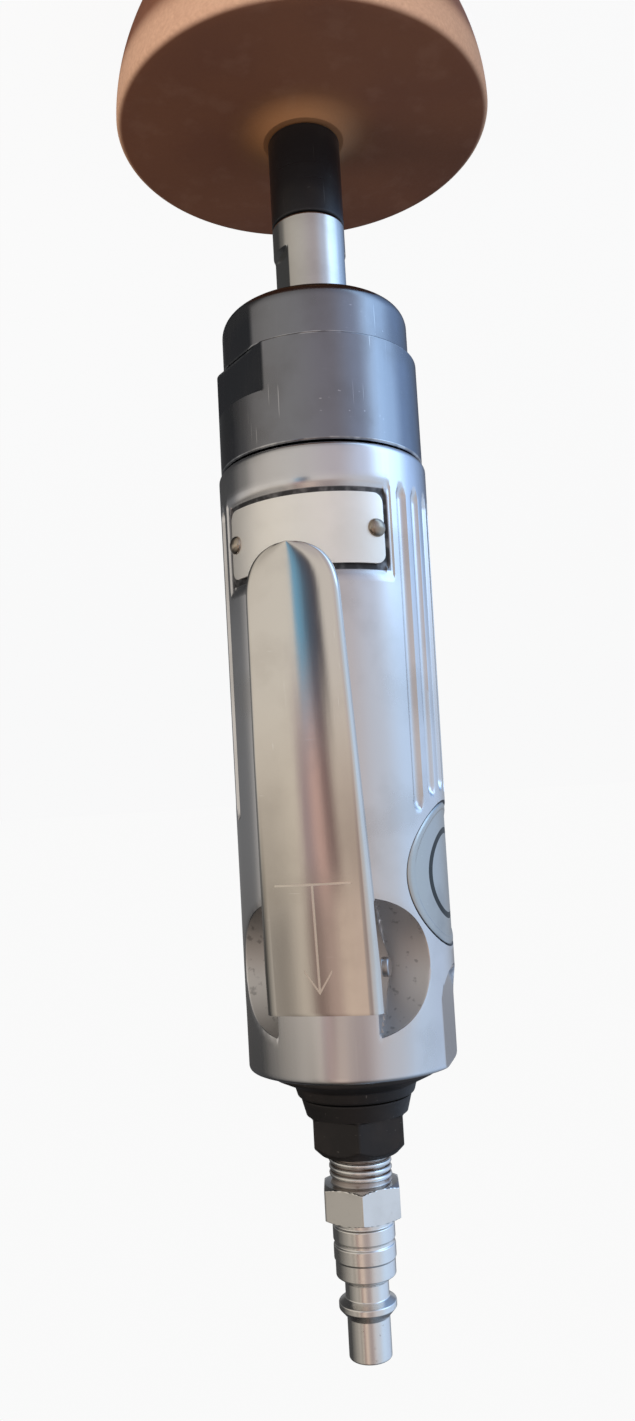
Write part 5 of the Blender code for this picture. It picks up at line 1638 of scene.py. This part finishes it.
@dataclass
class LeverAssembly:
    """Sheet lever, its pin, and the valve's guide, stem and spring under it."""

    pivot: Span = (-18.0, 222.5)
    reach: float = 85.5
    tail: float = 8.5
    pivot_face: float = -25.4
    tip_face: float = -33.0
    crown: float = 1.0
    corner: float = 1.4
    pivot_corner: float = 2.7
    tip_flange: float = 2.4
    pivot_flange: float = 4.2
    tip_round: float = 11.0
    tip_power: float = 2.5
    ear_r: float = 4.4
    ear_spread: float = 5.5
    half_widths: Span = (9.5, 12.0)
    sheet: float = 1.2
    pin_r: float = 2.0
    pin_half: float = 12.9
    valve_z: float = 200.0
    guide: Box = (2.1, 5.9, 12.5, 22.5)
    stem: Box = (1.8, 4.6, 9.7, 12.2)
    spring: Box = (3.4, 0.5, -5.5, 9.4)
    stem_gap: float = 0.3
    spring_turns: float = 6.0
    valve_travel: float = 1.73
    flat_steps: int = 16
    corner_steps: int = 6
    flange_steps: int = 5
    tip_steps: int = 26

    def station(self, height: float) -> tuple[float, float, float]:
        """Face, half width and flange depth of the lever.

        Args:
            height: distance below the pivot.

        Returns:
            Face, half width and flange depth.
        """
        share = height / self.reach
        face = self.pivot_face + (self.tip_face - self.pivot_face) * share
        along = max(0.0, min(1.0, share))
        width = self.half_widths[1] + (self.half_widths[0] - self.half_widths[1]) * along
        flange = self.pivot_flange + (self.tip_flange - self.pivot_flange) * along
        ear = self.pivot[0] + self.ear_r - face
        flange += (ear - flange) * math.exp(-((height / self.ear_spread) ** 2))
        past = (height - (self.reach - self.tip_round)) / self.tip_round
        if past > 0:
            width *= (1 - past ** self.tip_power) ** (1 / self.tip_power)
            flange -= (flange - self.crown - self.corner) * past
        return face, width, flange

    def section(self, height: float) -> list[Span]:
        """Points across one half of the lever, from its middle to the flange's edge.

        Args:
            height: distance below the pivot.

        Returns:
            Points across and away from the lever.
        """
        face, width, flange = self.station(height)
        growth = 1.0 - min(1.0, max(0.0, height / self.reach) * 2.0)
        corner = min(self.corner + (self.pivot_corner - self.corner) * growth, 0.3 * width)
        flat = width - corner
        across = [flat * i / self.flat_steps for i in range(self.flat_steps + 1)]
        half = [(x, face + self.crown * (x / width) ** 2) for x in across]
        shoulder = half[-1][1]
        for i in range(1, self.corner_steps + 1):
            turn = math.pi / 2 * i / self.corner_steps
            half.append((flat + corner * math.sin(turn), shoulder + corner * (1 - math.cos(turn))))
        start = shoulder + corner
        rest = max(face + flange, start + 0.05) - start
        half += [(width, start + rest * i / self.flange_steps) for i in range(1, self.flange_steps + 1)]
        return half

    def lever_mesh(self) -> Mesh:
        """Bent sheet lever with a round tip and ears on the pin.

        Returns:
            The mesh in metres.
        """
        end = self.reach - self.tip_round
        heights = list(np.linspace(-self.tail, end, 110))
        last = math.radians(88.5)
        heights += [end + self.tip_round * math.sin(last * i / self.tip_steps)
                    for i in range(1, self.tip_steps + 1)]
        rows = []
        for height in heights:
            half = self.section(height)
            whole = [(-x, y) for x, y in reversed(half[1:])] + half
            rows.append([(x, y, self.pivot[1] - height) for x, y in whole])
        sheet = clean(grid_mesh("lever_sheet", np.array(rows), False, False), 180.0)
        face = sheet.polygons[len(sheet.polygons) // 2]
        if face.normal.y > 0:
            sheet.flip_normals()
        return modified(sheet, [
            ("SOLIDIFY", {"thickness": self.sheet * MM, "offset": -1.0, "use_even_offset": True}),
            ("BEVEL", {"width": 0.22 * MM, "segments": 3, "limit_method": "ANGLE",
                       "angle_limit": math.radians(50.0)}),
        ])

    def stem_mesh(self, out: Matrix) -> Mesh:
        """Valve stem with a domed end just under the lever.

        Args:
            out: frame of the valve's bore.

        Returns:
            The mesh in metres.
        """
        radius, head_r, low, high = self.stem
        tip = -self.station(self.pivot[1] - self.valve_z)[0] - self.sheet - self.stem_gap
        profile = arc((0.0, tip - radius), radius, 90, 0, 10)
        profile += [(radius, high), (head_r, high), (head_r, low), (0.0, low)]
        return turned("stem_turned", profile, even_turns(64), (), False, out)

    def build(self, shop: Workshop) -> None:
        """Make and place the five pieces.

        Args:
            shop: the workshop that holds the finishes.
        """
        shop.place("lever_sheet", self.lever_mesh(), "stainless_lever", "stainless_lever", "throttle_lever",
                   body=Body.LEVER)
        ends = rounded([(0.0, -self.pin_half), (self.pin_r, -self.pin_half), (self.pin_r, self.pin_half),
                        (0.0, self.pin_half)], 0.5, False)
        across = Matrix.Translation((0.0, self.pivot[0] * MM, self.pivot[1] * MM)) @ Matrix.Rotation(
            math.pi / 2, 4, "Y")
        pin = turned("pin_turned", ends, even_turns(64), (), False, across)
        # The pin takes the darker gear steel in place of bright steel, partly as painted shade for the
        # shadowed hole round it.
        shop.place("pin_turned", pin, "gear_steel", "bright_steel", "lever_pin")
        out = side_frame(0.0, self.valve_z)
        shop.place("guide_turned", ring_mesh("guide_turned", self.guide, 0.3, 72, out), "brass", "brass",
                   "valve_guide")
        shop.place("stem_turned", self.stem_mesh(out), "brass", "brass", "valve_stem", body=Body.VALVE)
        radius, wire, low, high = self.spring
        coil = helix("spring_wound", self.spring_turns, radius, wire, low + wire, high - low - 2 * wire,
                     shop.materials["bright_steel"])
        coil.transform(out)
        spring = shop.place("spring_wound", coil, "bright_steel", "bright_steel", "valve_spring")
        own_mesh(spring)


@dataclass
class RearAssembly:
    """Black rear cap and inlet bushing with the steel air plug."""

    cap: Section = ((8.8, 251.1), (12.6, 251.1), (13.3, 248.7), (18.0, 246.5), (18.0, 245.1), (8.8, 245.1))
    bushing: Section = (
        (7.1, 263.3), (8.5, 263.3), (10.969655, 260.9), (10.969655, 255.0), (11.0, 255.0), (12.0, 251.4),
        (8.5, 251.4), (8.5, 234.4), (4.5, 234.4), (4.5, 249.8), (7.1, 249.8))
    bushing_hex: tuple[float, float, float] = (19.0, 255.05, 264.3)
    bushing_low: float = 251.4
    plug: Section = (
        (3.0, 305.0), (4.55, 305.0), (4.55, 296.7), (6.15, 294.9), (6.15, 293.7), (4.65, 292.8),
        (4.65, 289.5), (6.4, 288.3), (6.4, 285.1), (6.65, 284.8), (6.65, 282.1), (6.35, 281.8), (6.35, 281.2),
        (6.65, 280.9), (6.65, 278.2), (6.3, 277.8), (6.3, 276.6), (7.8705, 276.6), (9.17987, 276.046559),
        (9.17987, 270.053441), (7.8705, 269.5), (6.45, 269.4), (6.15, 268.6), (5.8, 251.3), (3.0, 251.3))
    plug_hex: tuple[float, float, float] = (15.9, 269.5, 276.6)
    hex_turn: float = 16.0
    thread_root: float = 6.15
    thread_r: float = 6.75
    thread_pitch: float = 1.41
    thread: Span = (260.3, 268.2)

    def hexagon(self, across: float, low: float, high: float) -> list[Cut]:
        """Hexagon turned as both rear hexagons are."""
        return [HexCut(across, low, high, math.radians(self.hex_turn))]

    def plug_mesh(self, shop: Workshop) -> Mesh:
        """Plug with its hexagon and the thread ridge wound on it.

        Args:
            shop: the workshop that holds the finishes.

        Returns:
            The mesh in metres.
        """
        plug = lathe("plug_turned", self.plug, 0.35, lambda _: 0.4, 200, self.hexagon(*self.plug_hex))
        length = self.thread[1] - self.thread[0]
        thread = helix("plug_thread", length / self.thread_pitch, self.thread_root,
                       self.thread_r - self.thread_root, self.thread[0], length, shop.materials["plug_steel"])
        shape = bmesh.new()
        for mesh in (plug, thread):
            shape.from_mesh(mesh)
        shape.to_mesh(plug)
        shape.free()
        for face in plug.polygons:
            face.material_index = 0
        return plug

    def build(self, shop: Workshop) -> None:
        """Make and place the three pieces.

        Args:
            shop: the workshop that holds the finishes.
        """
        cap = lathe("cap_turned", self.cap, 0.7, lambda _: 2.0, 144)
        shop.place("cap_turned", cap, "rear_black", "black_steel", "rear_cap")
        bushing = lathe("bushing_turned", self.bushing, 0.3, lambda z: 0.4 if z > self.bushing_low else 3.0,
                        240, self.hexagon(*self.bushing_hex))
        shop.place("bushing_turned", bushing, "rear_black", "black_steel", "inlet_bushing")
        shop.place("plug_turned", self.plug_mesh(shop), "plug_steel", "plug_steel", "air_plug")


INTERNALS: dict[str, Sequence[str]] = {
    "gear_steel": ("bearing_outer_ring", "bearing_inner_ring", "ring_gear", "rotor", "front_end_plate",
                   "rear_end_plate", "cylinder_liner", "planet_gear_1", "planet_gear_2", "planet_gear_3"),
    "bright_steel": ("rotor_bearing_front", "rotor_bearing_rear", "liner_pin", "planet_pin_1", "planet_pin_2",
                     "planet_pin_3"),
    "brass": ("bearing_cage", "inlet_screen"),
    "seal_rubber": ("valve_seal",),
    "felt": ("silencer_ring",),
    "vane_fibre": tuple(f"vane_{i}" for i in range(1, 6)),
}


# Studio


@dataclass(frozen=True)
class SoftBox:
    """One soft light card."""

    name: str
    place: tuple[float, float, float]
    aim: tuple[float, float, float]
    size: Span
    power: float
    colour: Colour

    def build(self) -> None:
        """Make the lamp."""
        lamp = bpy.data.lights.new(self.name, "AREA")
        lamp.shape = "RECTANGLE"
        lamp.size, lamp.size_y = self.size
        lamp.energy = self.power
        lamp.color = self.colour
        holder = bpy.data.objects.new(self.name, lamp)
        holder.location = self.place
        holder.rotation_euler = (Vector(self.aim) - Vector(self.place)).to_track_quat("-Z", "Y").to_euler()
        holder.visible_camera = False
        holder.visible_glossy = False
        bpy.context.scene.collection.objects.link(holder)


@dataclass
class Studio:
    """Pale floor, white surround, soft light cards and the photograph's camera."""

    focal_px: float = 1081.0
    distance: float = 242.0
    camera_z: float = 195.5
    turn: float = 14.0
    tilt: float = 6.5
    roll: float = 3.2
    aside_px: float = 17.5
    floor_white: float = 0.93
    wall_white: float = 0.952
    room_fade: Span = (0.35, 0.95)
    room_drop: Span = (0.75, 0.35)
    rear_fade: Span = (0.04, 0.19)
    rear: Stops = (
        (-180, 0.4, 0.4, 0.42), (-158, 0.9, 0.9, 0.9), (-44, 0.94, 0.94, 0.94), (-23, 0.6, 0.54, 0.53),
        (-5, 0.68, 0.62, 0.6), (15, 0.97, 0.95, 0.92), (36, 0.65, 0.64, 0.63), (57, 0.44, 0.44, 0.44),
        (85, 0.28, 0.28, 0.28), (130, 0.4, 0.4, 0.4), (180, 0.4, 0.4, 0.42))
    room: Stops = (
        (-180, 0.4, 0.43, 0.48), (-130, 0.66, 0.82, 1.08), (-94, 0.72, 0.9, 1.15), (-60, 0.7, 0.74, 0.82),
        (-30, 0.7, 0.64, 0.63), (15, 0.82, 0.77, 0.7), (60, 0.78, 0.72, 0.64), (84, 0.6, 0.57, 0.53),
        (100, 0.2, 0.2, 0.2), (140, 0.18, 0.18, 0.18), (180, 0.4, 0.43, 0.48))
    glow: Stops = (
        (-180, 0.3, 0.3, 0.35), (-150, 0.5, 0.6, 0.75), (-126, 0.8, 0.95, 1.15), (-104, 1.7, 1.95, 2.15),
        (-84, 2.1, 2.4, 2.6), (-62, 1.05, 1.1, 1.25), (-30, 0.85, 0.85, 0.9), (40, 0.8, 0.8, 0.8),
        (62, 0.7, 0.7, 0.7), (80, 0.3, 0.3, 0.3), (180, 0.4, 0.4, 0.4))
    glow_fade: Span = (-0.32, -0.14)
    low_band: Stops = (
        (-1, 1.0, 1.0, 1.0), (2, 0.12, 0.12, 0.16), (6, 0.12, 0.16, 0.24), (13, 0.26, 0.62, 1.0),
        (16, 1.0, 1.0, 1.0))
    high_band: Stops = (
        (1, 1.0, 0.95, 0.9), (6, 0.36, 0.26, 0.28), (11, 0.9, 0.66, 0.66), (16, 0.55, 0.45, 0.52),
        (21, 1.0, 0.97, 0.93))
    rear_band: Stops = (
        (-12, 1.0, 1.0, 1.0), (-3, 1.4, 1.3, 1.22), (4, 1.2, 1.08, 1.0), (10, 0.7, 0.57, 0.56),
        (16, 0.36, 0.28, 0.28), (22, 0.9, 0.87, 0.84), (29, 0.6, 0.58, 0.57), (42, 1.0, 1.0, 1.0))
    band_rise: Span = (-0.02, 0.12)
    rear_rise: Span = (0.19, 0.25)
    band_from: Span = (-0.24, -0.12)
    floor_half: float = 6.0
    floor_z: float = -0.0002
    cards: tuple[SoftBox, ...] = (
        SoftBox("card_right", (-0.72, -0.2, 0.2), (0.0, 0.0, 0.14), (0.6, 0.42), 1.2, (0.86, 0.93, 1.0)),
        SoftBox("card_left", (0.4, -0.25, 0.22), (0.0, 0.0, 0.05), (0.25, 0.25), 0.8, (1.0, 0.9, 0.78)),
        SoftBox("card_front", (-0.1, -0.8, 0.05), (0.0, 0.0, 0.03), (0.6, 0.25), 5.0, (1.0, 0.96, 0.92)),
    )

    def build(self) -> None:
        """Make the stage, the light and the camera."""
        bpy.context.scene.view_settings.view_transform = "Standard"
        self.floor()
        self.surround()
        for card in self.cards:
            card.build()
        self.camera()

    def floor(self) -> None:
        """Plain pale floor that is white to the camera and keeps the shadow."""
        mesh = bpy.data.meshes.new("studio_floor")
        half = self.floor_half
        corners = ((-half, -half), (half, -half), (half, half), (-half, half))
        mesh.from_pydata([(x, y, self.floor_z) for x, y in corners], [], [(0, 1, 2, 3)])
        graph = MaterialGraph("floor_pale")
        graph.finish(base_color=(0.94, 0.94, 0.94), roughness=0.9)
        seen = graph.add("ShaderNodeLightPath", output="Is Camera Ray") * self.floor_white
        glow = graph.add("ShaderNodeEmission", {"Color": WHITE, "Strength": 1.0})
        shader = Value(graph, graph.shader.outputs[0])
        mixed = graph.add("ShaderNodeMixShader", {0: seen, 1: shader, 2: glow})
        graph.feed(graph.tree.nodes["Material Output"].inputs["Surface"], mixed)
        mesh.materials.append(graph.material)
        floor = bpy.data.objects.new("studio_floor", mesh)
        floor.visible_glossy = False
        bpy.context.scene.collection.objects.link(floor)

    def surround(self) -> None:
        """World that is white to the camera and a soft coloured room to the metal."""
        world = bpy.data.worlds.new("studio_surround")
        world.use_nodes = True
        graph = Graph(world.node_tree)
        graph.tree.nodes.clear()
        ray = graph.add("ShaderNodeTexCoord", output="Generated")
        x, y, z = (graph.add("ShaderNodeSeparateXYZ", {0: ray}, letter) for letter in "XYZ")
        turn = x.angle_over(y * -1.0) / (2 * math.pi) + 0.5
        wall, glow, low, high, rear, rear_band = (
            graph.ramp(turn, stops)
            for stops in (self.room, self.glow, self.low_band, self.high_band, self.rear, self.rear_band))
        band = graph.blend(graph.ease(z, *self.band_rise), low, high)
        band = graph.blend(graph.ease(z, *self.rear_rise), band, rear_band)
        colour = graph.blend(1.0 - graph.ease(z, *self.glow_fade), wall, glow, "MULTIPLY")
        colour = graph.blend(graph.ease(z, *self.rear_fade), colour, rear, "MULTIPLY")
        colour = graph.blend(graph.ease(z, *self.band_from), colour, band, "MULTIPLY")
        level = 1.0 - graph.ease(z, *self.room_fade) * self.room_drop[0]
        level = level - graph.ease(z * -1.0, *self.room_fade) * self.room_drop[1]
        soft = graph.add("ShaderNodeBackground", {"Color": colour, "Strength": level})
        white = graph.add("ShaderNodeBackground", {"Color": WHITE, "Strength": self.wall_white})
        seen = graph.add("ShaderNodeLightPath", output="Is Camera Ray")
        mixed = graph.add("ShaderNodeMixShader", {0: seen, 1: soft, 2: white})
        graph.add("ShaderNodeOutputWorld", {"Surface": mixed}, None)
        bpy.context.scene.world = world

    def camera(self) -> None:
        """Camera that looks at the lever's side with the wheel at the picture's top."""
        turn, tilt, roll = (math.radians(a) for a in (self.turn, self.tilt, self.roll))
        inward = Vector((math.sin(turn), math.cos(turn), 0.0))
        down = Vector((0.0, 0.0, -1.0))
        ahead = inward * math.cos(tilt) + down * math.sin(tilt)
        above = down * math.cos(tilt) - inward * math.sin(tilt)
        right = ahead.cross(above)
        upper = above * math.cos(roll) + right * math.sin(roll)
        right = right * math.cos(roll) - above * math.sin(roll)
        yaw = math.atan(self.aside_px / self.focal_px)
        aim = ahead * math.cos(yaw) - right * math.sin(yaw)
        right = right * math.cos(yaw) + ahead * math.sin(yaw)
        lens = bpy.data.cameras.new("photo_camera")
        lens.sensor_width = SENSOR
        lens.lens = self.focal_px / IMAGE_HEIGHT * SENSOR
        lens.clip_start = 0.01
        camera = bpy.data.objects.new("photo_camera", lens)
        place = (inward * -self.distance + Vector((0.0, 0.0, self.camera_z))) * MM
        axes = Matrix((right, upper, -aim)).transposed().to_4x4()
        camera.matrix_world = Matrix.Translation(place) @ axes
        bpy.context.scene.collection.objects.link(camera)
        bpy.context.scene.camera = camera


def main() -> None:
    """Build the sub-assemblies in order, then the studio."""
    logging.basicConfig(level=logging.INFO, format="%(name)s %(message)s")
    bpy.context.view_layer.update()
    shop = Workshop()
    for assembly in (WheelAssembly(), FrontAssembly(), HousingAssembly(), LeverAssembly(), RearAssembly()):
        assembly.build(shop)
    shop.dress(INTERNALS)
    Studio().build()
    bpy.context.view_layer.update()


if __name__ == "__main__":
    main()
